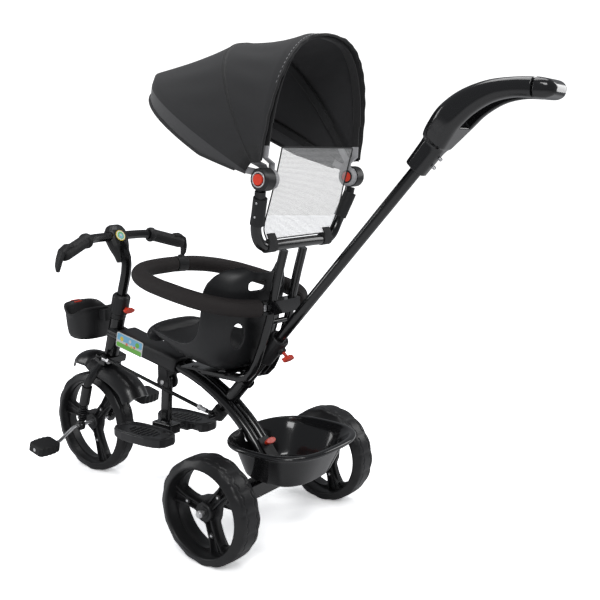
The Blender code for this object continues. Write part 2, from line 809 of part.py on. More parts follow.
def add_guard(root, mats):
    """The guard ring: two padded arms on a bracket round the posts, held together by a front clip."""
    hinge_turn, foam_turn = ring_turn(GUARD_HINGE_X), ring_turn(GUARD_HINGE_X + GUARD_EAR_R + 0.0008)
    hinge_y = ring_point(hinge_turn).y
    half_h = GUARD_BRACKET_H / 2
    half_w = POST_X + POST_R + 0.003
    post_y = height_place(post_route(1), RING_REAR_Z).y
    front = min(hinge_y - GUARD_EAR_R, post_y - POST_R - 0.0015)
    rear = max(hinge_y + GUARD_EAR_R, post_y + POST_R) + GUARD_BRACKET_WALL
    bracket = block("guard_bracket", (-half_w, front, RING_REAR_Z - half_h),
                    (half_w, rear, RING_REAR_Z + half_h))
    bracket = place("guard_bracket", bracket, mats["paint"], root)
    for sign in (1, -1):
        ear = barrel("bracket_ear", GUARD_EAR_R, -half_h, half_h, 12)
        join(bracket, ear, (sign * GUARD_HINGE_X, hinge_y, RING_REAR_Z))
    for sign in (1, -1):
        cut(bracket, tube_mesh("bracket_post", post_route(sign), POST_R + GAP, 3))
    for side, sign in (("left", 1), ("right", -1)):
        joint = pivot(f"guard_{side}_hinge", root, (sign * GUARD_HINGE_X, hinge_y, RING_REAR_Z))
        slot = block("guard_slot", (-0.0046, -0.05, -0.0070), (0.05, 0.05, 0.0070))
        if sign < 0:
            slot = mirror_x(slot, "guard_slot_right")
        cut(bracket, slot, (sign * GUARD_HINGE_X, hinge_y, RING_REAR_Z))
        shift = Vector((GUARD_HINGE_X, hinge_y, RING_REAR_Z))
        route = ring_route(hinge_turn, foam_turn, 3)
        strap = rounded(0.0088, 0.0120, 0.003, 1)
        lug = swept(f"guard_arm_{side}", [p - shift for p in route], strap, up=(0, 1, 0))
        stop = ring_turn(CLIP_X - sign * (CLIP_HALF - 0.006))
        first = ring_turn(GUARD_HINGE_X + GUARD_EAR_R + 0.0022)
        foam = spaced(ring_route(first, math.pi + sign * stop, 160), 16)
        pad = tube_mesh(f"guard_foam_{side}", [p - shift for p in foam], FOAM_R)
        if sign < 0:
            lug = mirror_x(lug, lug.name)
            pad = mirror_x(pad, pad.name)
        pad.shade_smooth()
        pad.set_sharp_from_angle(angle=math.radians(50))
        lug = place(f"guard_arm_{side}", lug, mats["steel"], joint)
        join(lug, barrel("arm_knuckle", 0.0044, -0.0060, 0.0060, 12))
        pad = place(f"guard_foam_{side}", pad, mats["foam"], joint)
        clip_way = clip_mesh("clip_way", CLIP_HALF + GAP, 0.050)
        cut(pad, clip_way, (-sign * GUARD_HINGE_X, -hinge_y, -RING_REAR_Z))

    # The clip sits off the middle and rides on the right arm, so it is placed under that arm's hinge.
    right = bpy.data.objects["guard_right_hinge"]
    corner = Vector((-GUARD_HINGE_X, hinge_y, RING_REAR_Z))
    clip_at = ring_point(math.pi + ring_turn(CLIP_X)) - corner
    clip = clip_mesh("guard_clip", CLIP_HALF, 2 * FOAM_R + 0.001)
    clip = place("guard_clip", clip, mats["plastic"], right, -corner)
    well = moved(barrel("clip_well", 0.0052, 0, 0.02, 14), 0, 0, FOAM_R - 0.006)
    cut(clip, well, clip_at)
    button = barrel("clip_button", 0.0049, FOAM_R - 0.0035, FOAM_R + 0.003, 14, 0.001)
    spot = pivot("clip_button_slide", right, clip_at)
    place("clip_button", button, mats["plastic"], spot)


def add_footrest(root, mats):
    """The footrest: a bracket under the twin tubes, a folding post and two pads that flip up."""
    bracket = block("footrest_bracket", (-0.0165, FOOT_PIVOT_Y - 0.015, FOOT_PIVOT_Z),
                    (0.0165, FOOT_PIVOT_Y + 0.015, FOOT_PIVOT_Z + 0.044), 0.002)
    bracket = place("footrest_bracket", bracket, mats["plastic"], root)
    join(bracket, along_x(barrel("bracket_knuckle", FOOT_KNUCKLE_R, -0.0158, 0.0158, 16)),
         (0, FOOT_PIVOT_Y, FOOT_PIVOT_Z))
    cut(bracket, cover_mesh("bracket_seat", GAP))
    slot = block("bracket_slot", (-0.0085, -0.1, -0.1), (0.0085, 0.1, 0.016))
    cut(bracket, slot, (0, FOOT_PIVOT_Y, FOOT_PIVOT_Z))
    fold = pivot("footrest_fold", root, (0, FOOT_PIVOT_Y, FOOT_PIVOT_Z))
    drop = PAD_Z - FOOT_PIVOT_Z
    ahead = FOOT_Y - FOOT_PIVOT_Y
    stem = swept("footrest_post", [(0, 0, 0.010), (0, ahead, drop + 0.010)], rounded(0.016, 0.026, 0.005, 2))
    stem = place("footrest_post", stem, mats["paint"], fold)
    bar = block("foot_bar", (-FOOT_BAR_HALF_W, ahead - 0.030, drop - 0.010),
                (FOOT_BAR_HALF_W, ahead + 0.030, drop + 0.014), 0.003)
    join(stem, bar)
    for side, sign in (("left", 1), ("right", -1)):
        hinge = pivot(f"footpad_{side}_hinge", fold, (sign * PAD_HINGE_X, ahead, drop))
        outline = []
        for i in range(18):
            turn = 2 * math.pi * i / 18
            c, s = math.cos(turn), math.sin(turn)
            outline.append((math.copysign(abs(c) ** 0.62, c) * PAD_W / 2,
                            math.copysign(abs(s) ** 0.75, s) * PAD_HALF_L))
        middle = 0.0008 + PAD_W / 2
        rings = []
        for inset, z in ((0.0025, -PAD_T / 2), (0.0, -PAD_T / 2 + 0.003), (0.0, PAD_T / 2 - 0.001),
                         (0.0045, PAD_T / 2), (0.0055, PAD_T / 2 - 0.0025)):
            rings.append([(sign * (middle + x * (1 - 2 * inset / PAD_W)), y * (1 - inset / PAD_HALF_L), z)
                          for x, y in outline])
        pad = place(f"footpad_{side}", rings_mesh(f"footpad_{side}", rings), mats["plastic"], hinge)
        notch = block("pad_notch", (-0.012, -0.014, -0.05), (0.014, 0.014, 0.05))
        cut(pad, notch, (sign * 0.004, 0.048, 0))
        knuckle = block("pad_knuckle", (-0.0112, -0.026, -0.004), (0.014, 0.026, 0.004), 0.0015)
        if sign < 0:
            knuckle = mirror_x(knuckle, "pad_knuckle_right")
        join(pad, knuckle)


def arch(turn, half_width, height, power=ARCH_POWER):
    """Half width and height of an arched bow at one turn from its left foot."""
    c, s = math.cos(turn), math.sin(turn)
    return half_width * math.copysign(abs(c) ** (2 / power), c), height * abs(s) ** (2 / power)


def bow_mesh(name, half_width, height, eye_x, rise, power):
    """A flat strap bent into an arch, with a flat foot on each side for the canopy's pivot."""
    steps = 12
    # Each bow flares out above its eye at a height of its own, so that the bows nest as they fold.
    low = EYE_R - STRAP_W / 2
    first = math.asin(((rise + BOW_FLARE) / height) ** (power / 2))
    route = [Vector((eye_x, 0, low)), Vector((eye_x, 0, rise))]
    for i in range(steps + 1):
        turn = first + (math.pi - 2 * first) * i / steps
        x, z = arch(turn, half_width, height, power)
        route.append(Vector((x, 0, z)))
    route += [Vector((-eye_x, 0, rise)), Vector((-eye_x, 0, low))]
    strap = [(STRAP_W / 2, STRAP_T / 2), (-STRAP_W / 2, STRAP_T / 2), (-STRAP_W / 2, -STRAP_T / 2),
             (STRAP_W / 2, -STRAP_T / 2)]
    return swept(name, route, strap, up=(0, 1, 0), smooth=50.0)


def add_bow(name, half_width, height, layer, lean, mat, parent, power=ARCH_POWER):
    """One canopy bow under an empty on the hubs' axis. Layer 0 has its feet next to the hubs."""
    turn = pivot(f"{name}_hinge", parent, (0, HUB_Y, HUB_Z), (-lean, 0, 0))
    eye_x = HUB_X - CANOPY_HUB_T / 2 - GAP - STRAP_T / 2 - layer * EYE_STEP
    rise = BOW_RISE + layer * BOW_RISE_STEP
    bow = place(name, bow_mesh(name, half_width, height, eye_x, rise, power), mat, turn)
    for sign in (1, -1):
        eye = along_x(barrel("eye", EYE_R, -STRAP_T / 2, STRAP_T / 2, 14))
        join(bow, eye, (sign * eye_x, 0, 0))
        bore = along_x(barrel("eye_bore", PIVOT_R + 3 * GAP, -0.006, 0.006, 14))
        cut(bow, bore, (sign * eye_x, 0, 0))
    return bow


def add_canopy_frame(root, mats):
    """The hoop on the posts, its two hubs, their push buttons and the three bows."""
    inner_face = HUB_X - CANOPY_HUB_T / 2
    leg_top = HUB_Z - CANOPY_HUB_R - GAP
    half_loop = [(HUB_X, HUB_Y - 0.006, leg_top), (HUB_X - 0.004, 0.078, 0.670),
                 (HUB_X - 0.012, 0.064, 0.632), (HUB_X - 0.026, 0.0600, 0.6065),
                 (0.095, HOOP_Y, HOOP_Z), (0.045, HOOP_Y, HOOP_Z)]
    loop = half_loop + [(-x, y, z) for x, y, z in reversed(half_loop)]
    tube("canopy_frame", smooth_route(loop, 2), HOOP_R, mats["paint"], root, rings=2)

    stub_in = inner_face - 3 * EYE_STEP - 0.001
    for side, sign in (("left", 1), ("right", -1)):
        outline = [
            (BUTTON_R + RUNNING_GAP, stub_in), (PIVOT_R, stub_in), (PIVOT_R, inner_face),
            (CANOPY_HUB_R, inner_face),
            (CANOPY_HUB_R, inner_face + CANOPY_HUB_T - 0.003),
            (CANOPY_HUB_R - 0.003, inner_face + CANOPY_HUB_T),
            (BUTTON_R + RUNNING_GAP, inner_face + CANOPY_HUB_T),
        ]
        disc = along_x(turned(f"hub_{side}", outline, 18))
        if sign < 0:
            disc = mirror_x(disc, f"hub_{side}")
        place(f"hub_{side}", disc, mats["plastic"], root, (0, HUB_Y, HUB_Z))
        slide = pivot(f"hub_button_{side}_slide", root, (sign * HUB_X, HUB_Y, HUB_Z))
        button_out = CANOPY_HUB_T / 2 + BUTTON_OUT
        pin = along_x(barrel(f"hub_button_{side}", BUTTON_R, stub_in - HUB_X, button_out, 14))
        if sign < 0:
            pin = mirror_x(pin, f"hub_button_{side}")
        place(f"hub_button_{side}", pin, mats["red"], slide)

    add_bow("front_bow", FRONT_BOW_W, FRONT_BOW_H, 0, FRONT_BOW_LEAN, mats["grey"], root, FRONT_ARCH_POWER)
    add_bow("mid_bow", MID_BOW_W, MID_BOW_H, 1, MID_BOW_LEAN, mats["paint"], root)
    add_bow("rear_bow", REAR_BOW_W, REAR_BOW_H, 2, REAR_BOW_LEAN, mats["grey"], root)


def cloth_edge(height, lean, turn, out, power=ARCH_POWER, drop=0.0):
    """A place on the cloth above one bow, let down by a drop that fades towards the crown."""
    x, r = arch(turn, CLOTH_HALF_W + out, height + FABRIC_OUT + out, power)
    fall = drop * abs(math.cos(turn)) ** 0.6
    return Vector((x, HUB_Y + r * math.sin(lean), HUB_Z + r * math.cos(lean) - fall))


def cloth_panel(name, edges, sag, rows, cols=14):
    """A cloth panel over a few arches, drawn in a little between them, with its rows given per span."""
    steps = [(k, i / rows[k]) for k in range(len(rows)) for i in range(rows[k])] + [(len(rows) - 1, 1.0)]
    layers = []
    for out in (0.0, FABRIC_T):
        grid = []
        for k, share in steps:
            row = []
            for j in range(cols + 1):
                turn = HEM_ANGLE + (math.pi - 2 * HEM_ANGLE) * j / cols
                point = edges[k](turn, out).lerp(edges[k + 1](turn, out), share)
                inward = (Vector((0, HUB_Y, HUB_Z + 0.10)) - point).normalized()
                row.append(point + inward * sag[k] * math.sin(turn) * 4 * share * (1 - share))
            grid.append(row)
        layers.append(grid)
    return shell_mesh(name, layers[0], layers[1], smooth=60.0)


def add_canopy_cloth(root, mats):
    """The front and rear cloth panels and the net that closes the hoop behind the seat."""
    seam = math.radians(0.2)
    hem = math.radians(1.9)
    past = math.radians(1.3)

    def over(height, lean, power=ARCH_POWER, drop=0.0):
        return lambda turn, out: cloth_edge(height, lean, turn, out, power, drop)

    # The cloth runs flat over each bow's strap, and hangs a little past the front one.
    brim = over(FRONT_BOW_H, FRONT_BOW_LEAN - past - hem, FRONT_ARCH_POWER, BRIM_DROP)
    front_lip = over(FRONT_BOW_H, FRONT_BOW_LEAN - past, FRONT_ARCH_POWER)
    front_heel = over(FRONT_BOW_H, FRONT_BOW_LEAN + past, FRONT_ARCH_POWER)
    mid_front = over(MID_BOW_H, MID_BOW_LEAN - seam)
    front_panel = cloth_panel("canopy_front_panel", [brim, front_lip, front_heel, mid_front],
                              [0.0, 0.0, 0.006], [1, 1, 4])
    place("canopy_front_panel", front_panel, mats["cloth"], root)
    mid_rear = over(MID_BOW_H, MID_BOW_LEAN + seam)
    mid_heel = over(MID_BOW_H, MID_BOW_LEAN + hem)
    rear_heel = over(REAR_BOW_H, REAR_BOW_LEAN - hem)
    rear_edge = over(REAR_BOW_H, REAR_EDGE_LEAN)
    rear_panel = cloth_panel("canopy_rear_panel", [mid_rear, mid_heel, rear_heel, rear_edge],
                             [0.0, 0.008, 0.0], [1, 3, 1])
    place("canopy_rear_panel", rear_panel, mats["cloth"], root)

    # The net fills the hoop from its lower bar up to the hubs.
    cols = 6
    grid = []
    for z, y, half in NET_ROWS:
        grid.append([Vector((half * (-1 + 2 * j / cols), y, z)) for j in range(cols + 1)])
    place("rear_net", thick_sheet("rear_net", grid, FABRIC_T), mats["net"], root)


def basket_ring(inset, z, steps=24):
    """The basket's outline at one height: rounder in front, squarer behind."""
    out = []
    for i in range(steps):
        turn = 2 * math.pi * i / steps
        c, s = math.cos(turn), math.sin(turn)
        power = BASKET_FRONT_POWER if s < 0 else BASKET_REAR_POWER
        steep = BASKET_FRONT_STEEP if s < 0 else 1.0
        out.append(((BASKET_HALF_X - inset) * math.copysign(abs(c) ** power, c),
                    BASKET_Y + (BASKET_HALF_Y - inset * steep) * math.copysign(abs(s) ** power, s), z))
    return out


def add_basket(root, mats):
    """The open basket over the rear beam, let in around the twin tubes, and the tab that its knob holds."""
    t = BASKET_T
    rim, floor = BASKET_RIM_Z, BASKET_FLOOR_Z
    depth = rim - floor
    loops = [basket_ring(0.060, floor), basket_ring(0.046, floor + 0.12 * depth),
             basket_ring(0.020, floor + 0.80 * depth), basket_ring(0.015, rim - 0.011),
             basket_ring(0.001, rim - 0.010), basket_ring(0.0, rim - 0.003), basket_ring(0.005, rim),
             basket_ring(0.014, rim - 0.003), basket_ring(0.020 + t, floor + 0.80 * depth),
             basket_ring(0.046 + t, floor + 0.12 * depth), basket_ring(0.058 + t, floor + t)]
    basket = place("basket", rings_mesh("basket", loops, smooth=45.0), mats["gloss"], root)
    clear = TWIN_R + BASKET_CLEAR
    between = [Vector((0, p.y, p.z)) for p in twin_route(1)[8:]]
    cut(basket, swept("basket_relief", between, rounded(2 * (TWIN_X + clear), 2 * clear, 0.98 * clear, 2)))
    lean = (-KNOB_LEAN, 0, 0)
    tab_at = (0, BASKET_TAB_Y, BASKET_TAB_Z)
    join(basket, block("basket_tab", (-0.015, -0.016, -0.0015), (0.015, 0.0600, 0.0015)), tab_at, lean)
    cut(basket, barrel("knob_hole", 0.0040, -0.01, 0.01, 12), tab_at, lean)
    return pivot("basket_knob_turn", root, tab_at, lean)


def add_knob(name, spot, mat, wing=0.030, thick=0.008, stem_r=0.0035, stem=0.010):
    """A winged knob on a short screw, turning about its empty's Z."""
    section = []
    for i in range(16):
        turn = 2 * math.pi * i / 16
        section.append((wing / 2 * math.cos(turn) * (1 - 0.28 * math.sin(turn) ** 2),
                        0.42 * wing / 2 * math.sin(turn) * (1 + 0.25 * math.cos(turn) ** 2)))
    body = swept(name, [(0, 0, stem), (0, 0, stem + thick)], section)
    knob = place(name, body, mat, spot)
    join(knob, barrel(f"{name}_stem", stem_r, 0, stem + thick / 2, 12))
    return knob


def add_push_bar(root, mats):
    """The push tube in its turning socket, the handle on top and the lever under the frame."""
    tilt = (-PUSH_LEAN, 0, 0)
    spot = (0, PUSH_Y, PUSH_Z)
    outline = [(SHAFT_R + RUNNING_GAP, BEARING_BOTTOM), (BEARING_R, BEARING_BOTTOM),
               (BEARING_R, BEARING_TOP - 0.009), (BEARING_R + 0.004, BEARING_TOP - 0.008),
               (BEARING_R + 0.004, BEARING_TOP), (SHAFT_R + RUNNING_GAP, BEARING_TOP)]
    place("bearing_tube", turned("bearing_tube", outline, 16), mats["paint"], root, spot, tilt)

    turn = pivot("push_bar_turn", root, spot, tilt)
    rings = [circle(r, z, 16) for r, z in (
        (SHAFT_R, SHAFT_END), (SHAFT_R, CUP_BOTTOM), (CUP_R, CUP_BOTTOM), (CUP_R, CUP_TOP),
        (PUSH_TUBE_R + GAP, CUP_TOP), (PUSH_TUBE_R + GAP, PUSH_TUBE_BOTTOM - GAP))]
    place("steering_shaft", rings_mesh("steering_shaft", rings), mats["paint"], turn)
    low = CUP_TOP - SOCKET_COLLAR_L
    outline = [(CUP_R + GAP, low), (SOCKET_COLLAR_R - 0.003, low), (SOCKET_COLLAR_R, low + 0.004),
               (SOCKET_COLLAR_R, CUP_TOP - 0.002), (SOCKET_COLLAR_R - 0.002, CUP_TOP), (CUP_R + GAP, CUP_TOP)]
    collar = place("socket_collar", turned("socket_collar", outline, 16), mats["plastic"], turn)
    knob_at = CUP_TOP - 0.018
    reach = CUP_R + 0.001
    sideways = Matrix.Rotation(-math.pi / 2, 4, "X")
    boss = turn_mesh(barrel("collar_boss", 0.0085, reach + 0.001, SOCKET_COLLAR_R + 0.005, 16), sideways)
    join(collar, boss, (0, 0, knob_at))
    well = turn_mesh(barrel("collar_well", 0.0040, reach, SOCKET_COLLAR_R + 0.02, 12), sideways)
    cut(collar, well, (0, 0, knob_at))
    knob = pivot("socket_knob_turn", turn, (0, reach + 0.001, knob_at), (-math.pi / 2, 0, 0))
    add_knob("socket_knob", knob, mats["red"], wing=0.034, stem=0.021)

    tube_outline = [circle(PUSH_TUBE_R, PUSH_TUBE_BOTTOM, 20), circle(PUSH_TUBE_R, PUSH_TUBE_TOP, 20)]
    place("push_tube", rings_mesh("push_tube", tube_outline), mats["paint"], turn)
    add_handle(turn, mats)

    # The lever is clamped round the shaft below the twin tubes and carries the rod's pin.
    outline = [(SHAFT_R + GAP, LEVER_AT - LEVER_T / 2), (LEVER_R, LEVER_AT - LEVER_T / 2),
               (LEVER_R, LEVER_AT + LEVER_T / 2), (SHAFT_R + GAP, LEVER_AT + LEVER_T / 2)]
    lever = place("steering_lever", turned("steering_lever", outline, 16), mats["plastic"], turn)
    arm = block("lever_arm", (SHAFT_R + 0.004, -0.004, LEVER_AT - 0.0025),
                (LINK_X + 0.0045, 0.007, LEVER_AT + 0.0025))
    join(lever, arm)
    pin = barrel("lever_pin", LINK_PIN_R, LEVER_AT, LEVER_AT + LINK_RISE, 12)
    join(lever, moved(pin, LINK_X))


def add_handle(turn, mats):
    """The moulded handle: a socket on the tube that opens into a loop bent towards the pusher."""
    lean = Matrix.Rotation(PUSH_LEAN, 3, "X")

    def local(x, y, z):
        return lean @ Vector((x, y - PUSH_Y, z - PUSH_Z))

    path = [local(0, y, z) for y, z, _, _ in HANDLE_STATIONS]
    sections = [rounded(HANDLE_W * w, h, min(0.010, h * 0.45), 2) for _, _, h, w in HANDLE_STATIONS]
    handle = place("push_handle", swept("push_handle", path, sections, smooth=50.0), mats["gloss"], turn)
    cut(handle, barrel("handle_bore", PUSH_TUBE_R + GAP, 0.40, PUSH_TUBE_TOP + GAP, 20))
    hole_path = [local(0, y, z) for y, z in HANDLE_HOLE]
    hole = swept("handle_hole", hole_path, rounded(HANDLE_W - 2 * HANDLE_BAR_W, 0.090, 0.010, 2))
    cut(handle, hole)


def link_ends():
    """The two pins of the steering rod, measured from the ground."""
    rear = push_place(LEVER_AT + LINK_RISE - 0.004, LINK_X)
    front = from_steering((LINK_X, 0.0, -CROWN_DROP + 0.0035))
    return rear, front


def add_steering_rod(mats, root):
    """The rod from the lever to the fork's crown, with an eye at each end."""
    rear, front = link_ends()
    # The rod's axis is tipped a little from the lever's pin, so that its front eye stays on the crown's pin.
    lean = Matrix.Rotation(-PUSH_LEAN, 4, "X") @ Matrix.Rotation(LINK_TILT, 4, "Y")
    joint = pivot("steering_rod_turn", root, rear, lean.to_euler())
    reach = lean.to_3x3().inverted() @ (front - rear)
    way = reach.normalized()
    eye = LINK_PIN_R + 0.0035
    rod = tube_mesh("steering_rod", [way * (eye - 0.0015), reach - way * (eye - 0.001)], ROD_R, rings=2)
    rod = place("steering_rod", rod, mats["paint"], joint)
    join(rod, barrel("rear_eye", eye, -0.0022, 0.0022, 14))
    tip = (lean.inverted() @ Matrix.Rotation(-RAKE, 4, "X")).to_euler()
    join(rod, barrel("front_eye", eye + 0.0012, -0.0020, 0.0020, 14), reach, tip)
    cut(rod, barrel("rear_hole", LINK_PIN_R + RUNNING_GAP, -0.02, 0.02, 12))
    cut(rod, barrel("front_hole", LINK_PIN_R + 0.0012, -0.012, 0.012, 12), reach, tip)


def add_steering(root, mats):
    """Everything that turns with the front fork."""
    head = pivot("steering_axis", root, (0, HEAD_Y, HEAD_Z), (-RAKE, 0, 0))
    axle = in_steering(0, FRONT_AXLE_Y, FRONT_WHEEL_R)
    crown_top = -CROWN_DROP
    crown_low = crown_top - CROWN_T
    boot_low = axle.z + DROPOUT_R + GAP + SPRING_L
    spring_low = axle.z + DROPOUT_R + GAP

    # The fork: a steerer, a crown and two legs that spread to dropouts round the front axle.
    crown = block("fork", (-FORK_TOP_X - 0.010, -CROWN_DEPTH / 2, crown_low),
                  (FORK_TOP_X + 0.010, CROWN_DEPTH / 2, crown_top), 0.003)
    fork = place("fork", crown, mats["paint"], head)
    join(fork, barrel("steerer", STEERER_R, crown_low + 0.004, HEAD_TUBE_L + 0.010, 16))
    for sign in (1, -1):
        x = sign * FORK_X
        join(fork, tube_mesh("fork_leg", leg_route(sign), FORK_LEG_R))
        boot = barrel("fork_boot", BOOT_R, boot_low + GAP, boot_low + BOOT_L, 16)
        join(fork, boot, (x, axle.y, 0))
        core_r = SPRING_R - 2 * SPRING_WIRE_R - 2 * RUNNING_GAP
        core = barrel("fork_core", core_r, axle.z + 0.002, boot_low + 0.004, 10)
        join(fork, core, (x, axle.y, 0))
        drop = along_x(barrel("dropout", DROPOUT_R, -0.0045, 0.0045, 16))
        join(fork, drop, (x, axle.y, axle.z))
        bore = along_x(barrel("dropout_bore", FRONT_AXLE_R + RUNNING_GAP, -0.02, 0.02, 12))
        cut(fork, bore, (x, axle.y, axle.z))
    lug = block("link_lug", (FORK_TOP_X, -0.007, crown_top - 0.006),
                (LINK_X + 0.007, 0.007, crown_top - 0.001))
    join(fork, lug)
    pin = barrel("link_pin", LINK_PIN_R, crown_top - 0.003, crown_top + 0.008, 12)
    join(fork, pin, (LINK_X, 0, 0))

    curl = spring_route(spring_low + SPRING_WIRE_R, SPRING_L - 2 * SPRING_WIRE_R)
    for side, sign in (("left", 1), ("right", -1)):
        obj = tube(f"fork_spring_{side}", curl, SPRING_WIRE_R, mats["black_steel"], head, rings=1)
        obj.location = (sign * FORK_X, axle.y, 0)
    print("fork spring, least gap between curls:", round(spring_gap(curl) * 1000, 2), "mm")

    add_fender(head, crown_low, mats)

    bore = STEERER_R + GAP
    low = HEAD_TUBE_L + RUNNING_GAP
    top = low + COLLAR_L
    outline = [(bore, low), (COLLAR_R - 0.003, low), (COLLAR_R - 0.003, low + 0.011), (COLLAR_R, low + 0.013),
               (COLLAR_R, top - 0.005), (COLLAR_R - 0.004, top), (bore, top)]
    collar = place("stem_collar", turned("stem_collar", outline, 18), mats["plastic"], head)
    knob_z = low + 0.030
    sideways = Matrix.Rotation(-math.pi / 2, 4, "X")
    well = turn_mesh(barrel("stem_well", 0.0040, STEM_R + 0.001, COLLAR_R + 0.02, 12), sideways)
    cut(collar, well, (0, 0, knob_z))
    spot = pivot("stem_knob_turn", head, (0, STEM_R + 0.002, knob_z), (-math.pi / 2, 0, 0))
    add_knob("stem_knob", spot, mats["red"], stem=0.014)

    add_handlebar(head, low + 0.0135, mats)
    add_bucket(head, low, mats)
    return head, axle


def spring_route(low, length):
    """A steady helix of the fork spring's curls about Z."""
    count = SPRING_CURLS * CURL_POINTS
    route = []
    for i in range(count + 1):
        turn = 2 * math.pi * i / CURL_POINTS
        reach = SPRING_R - SPRING_WIRE_R
        route.append(Vector((reach * math.cos(turn), reach * math.sin(turn), low + length * i / count)))
    return route


def spring_gap(route):
    """The least distance between one curl's surface and the next, measured on the route's points."""
    least = 1.0
    for i, point in enumerate(route):
        for other in route[i + CURL_POINTS - 3:i + CURL_POINTS + 4]:
            least = min(least, (other - point).length - 2 * SPRING_WIRE_R)
    return least


def leg_route(sign):
    """The middle line of one fork leg, from the crown out past the wheel, in the steering frame."""
    axle = in_steering(0, FRONT_AXLE_Y, FRONT_WHEEL_R)
    low = -CROWN_DROP - CROWN_T
    x, top_x = sign * FORK_X, sign * FORK_TOP_X
    boot_top = axle.z + DROPOUT_R + GAP + SPRING_L + BOOT_L
    points = [(top_x, 0, low + 0.012), (top_x, -0.002, low - 0.004), (x * 0.86, axle.y * 0.7, low - 0.038),
              (x, axle.y, low - 0.060), (x, axle.y, boot_top - 0.008)]
    return smooth_route(points, 1)


def add_fender(head, crown_low, mats):
    """The hood over the front wheel, hung from the crown."""
    top = crown_low - GAP - FENDER_T / 2
    # The middle line runs from the front lip over the top to the rear lip.
    bends = FENDER_FRONT + ((-0.0185, top), (0.0420, top - 0.0015)) + FENDER_REAR
    line = smooth_route([(0, y, z) for y, z in bends], 1)
    shares = (-1.0, -0.86, -0.58, 0.0, 0.58, 0.86, 1.0)
    grid = []
    for i, place_at in enumerate(line):
        before, after = line[max(i - 1, 0)], line[min(i + 1, len(line) - 1)]
        ahead = (after - before).normalized()
        down = Vector((0, -ahead.z, ahead.y)) * -1
        along = i / (len(line) - 1)
        half = FENDER_HALF_W * (1 - FENDER_NARROWING * max(0.0, 1 - along / FENDER_NARROW_END))
        depth = FENDER_SKIRT * (1 - FENDER_SHALLOWING * max(0.0, 1 - along / FENDER_SHALLOW_END))
        row = []
        for share in shares:
            across = Vector((half * math.sin(share * math.pi / 2), 0, 0))
            row.append(place_at + across + down * depth * abs(share) ** 3)
        grid.append(row)
    fender = place("fender", thick_sheet("fender", grid, FENDER_T), mats["gloss"], head)
    for sign in (1, -1):
        cut(fender, tube_mesh("fender_notch", leg_route(sign), FORK_LEG_R + 0.001))


def add_handlebar(head, stem_low, mats):
    """The bar with its welded stem, the moulded cover, and the grips with their end guards."""
    bar_y, bar_z = -BAR_FORWARD, BAR_UP
    half_bar = [(0.0, bar_y, bar_z), (0.060, bar_y + 0.001, bar_z), (0.100, bar_y + 0.010, bar_z - 0.001),
                (BAR_HALF, bar_y + BAR_SWEEP, bar_z - 0.016)]
    left = smooth_route(half_bar, 2)
    route = [Vector((-p.x, p.y, p.z)) for p in reversed(left[1:])] + left
    bar = place("handlebar", tube_mesh("handlebar", route, BAR_R), mats["paint"], head)
    stem_points = [(0, 0, stem_low), (0, 0, 0.165), (0, 0.0005, 0.205), (0, -0.007, 0.238),
                   (0, -0.028, 0.262), (0, bar_y, bar_z)]
    stem_route = smooth_route(stem_points, 2)
    join(bar, tube_mesh("stem", stem_route, STEM_R))

    # The cover is a teardrop round the joint of stem and bar.
    path = [Vector((0, bar_y - 0.017, bar_z + 0.021)), Vector((0, bar_y - 0.015, bar_z + 0.017)),
            Vector((0, bar_y - 0.010, bar_z + 0.008)), Vector((0, bar_y, bar_z - 0.006)),
            Vector((0, bar_y + 0.013, bar_z - 0.022)), Vector((0, bar_y + 0.026, bar_z - 0.038)),
            Vector((0, bar_y + 0.034, bar_z - 0.050))]
    widths = (0.024, 0.042, 0.056, 0.060, 0.052, 0.038, 0.031)
    heights = (0.016, 0.028, 0.038, 0.042, 0.038, 0.031, 0.027)
    sections = [oval(w, h, 14) for w, h in zip(widths, heights)]
    shell = swept("handlebar_cover", path, sections, smooth=60.0)
    cover = place("handlebar_cover", shell, mats["plastic"], head)
    cut(cover, tube_mesh("cover_bar", route, BAR_R + GAP))
    cut(cover, tube_mesh("cover_stem", longer(stem_route, 0.003)[1:], STEM_R + GAP))

    tip = left[-1]
    way = (left[-1] - left[-2]).normalized()
    bend = Vector((0.100, bar_y + 0.010, bar_z - 0.001))
    start = bend - (bend - left[2]).normalized() * 0.010
    for side, sign in (("left", 1), ("right", -1)):
        line = [start, start + (bend - start) * 0.4, bend, bend + way * 0.004,
                tip - way * 0.004, tip + way * 0.006]
        radii = (0.0165, 0.0175, 0.0172, GRIP_R, GRIP_R, GRIP_R - 0.002)
        grip = swept(f"grip_{side}", line, [oval(2 * r, 2 * r, 14) for r in radii], up=(0, 1, 0))
        inside = [p for p in route if p.x > 0.06][:-1] + [tip + way * GAP]
        bore = tube_mesh("grip_bore", inside, BAR_R + GAP)
        blade_line = smooth_route([tip + Vector(p) for p in BLADE_BENDS], 1)
        sections = [rounded(BLADE_W * share, BLADE_T, 0.0035, 1) for share in BLADE_SHARES]
        blade = swept("grip_blade", blade_line, sections, up=(0, 1, 0))
        if sign < 0:
            grip, bore, blade = (mirror_x(m, m.name) for m in (grip, bore, blade))
        grip = place(f"grip_{side}", grip, mats["rubber"], head)
        join(grip, blade)
        cut(grip, bore)


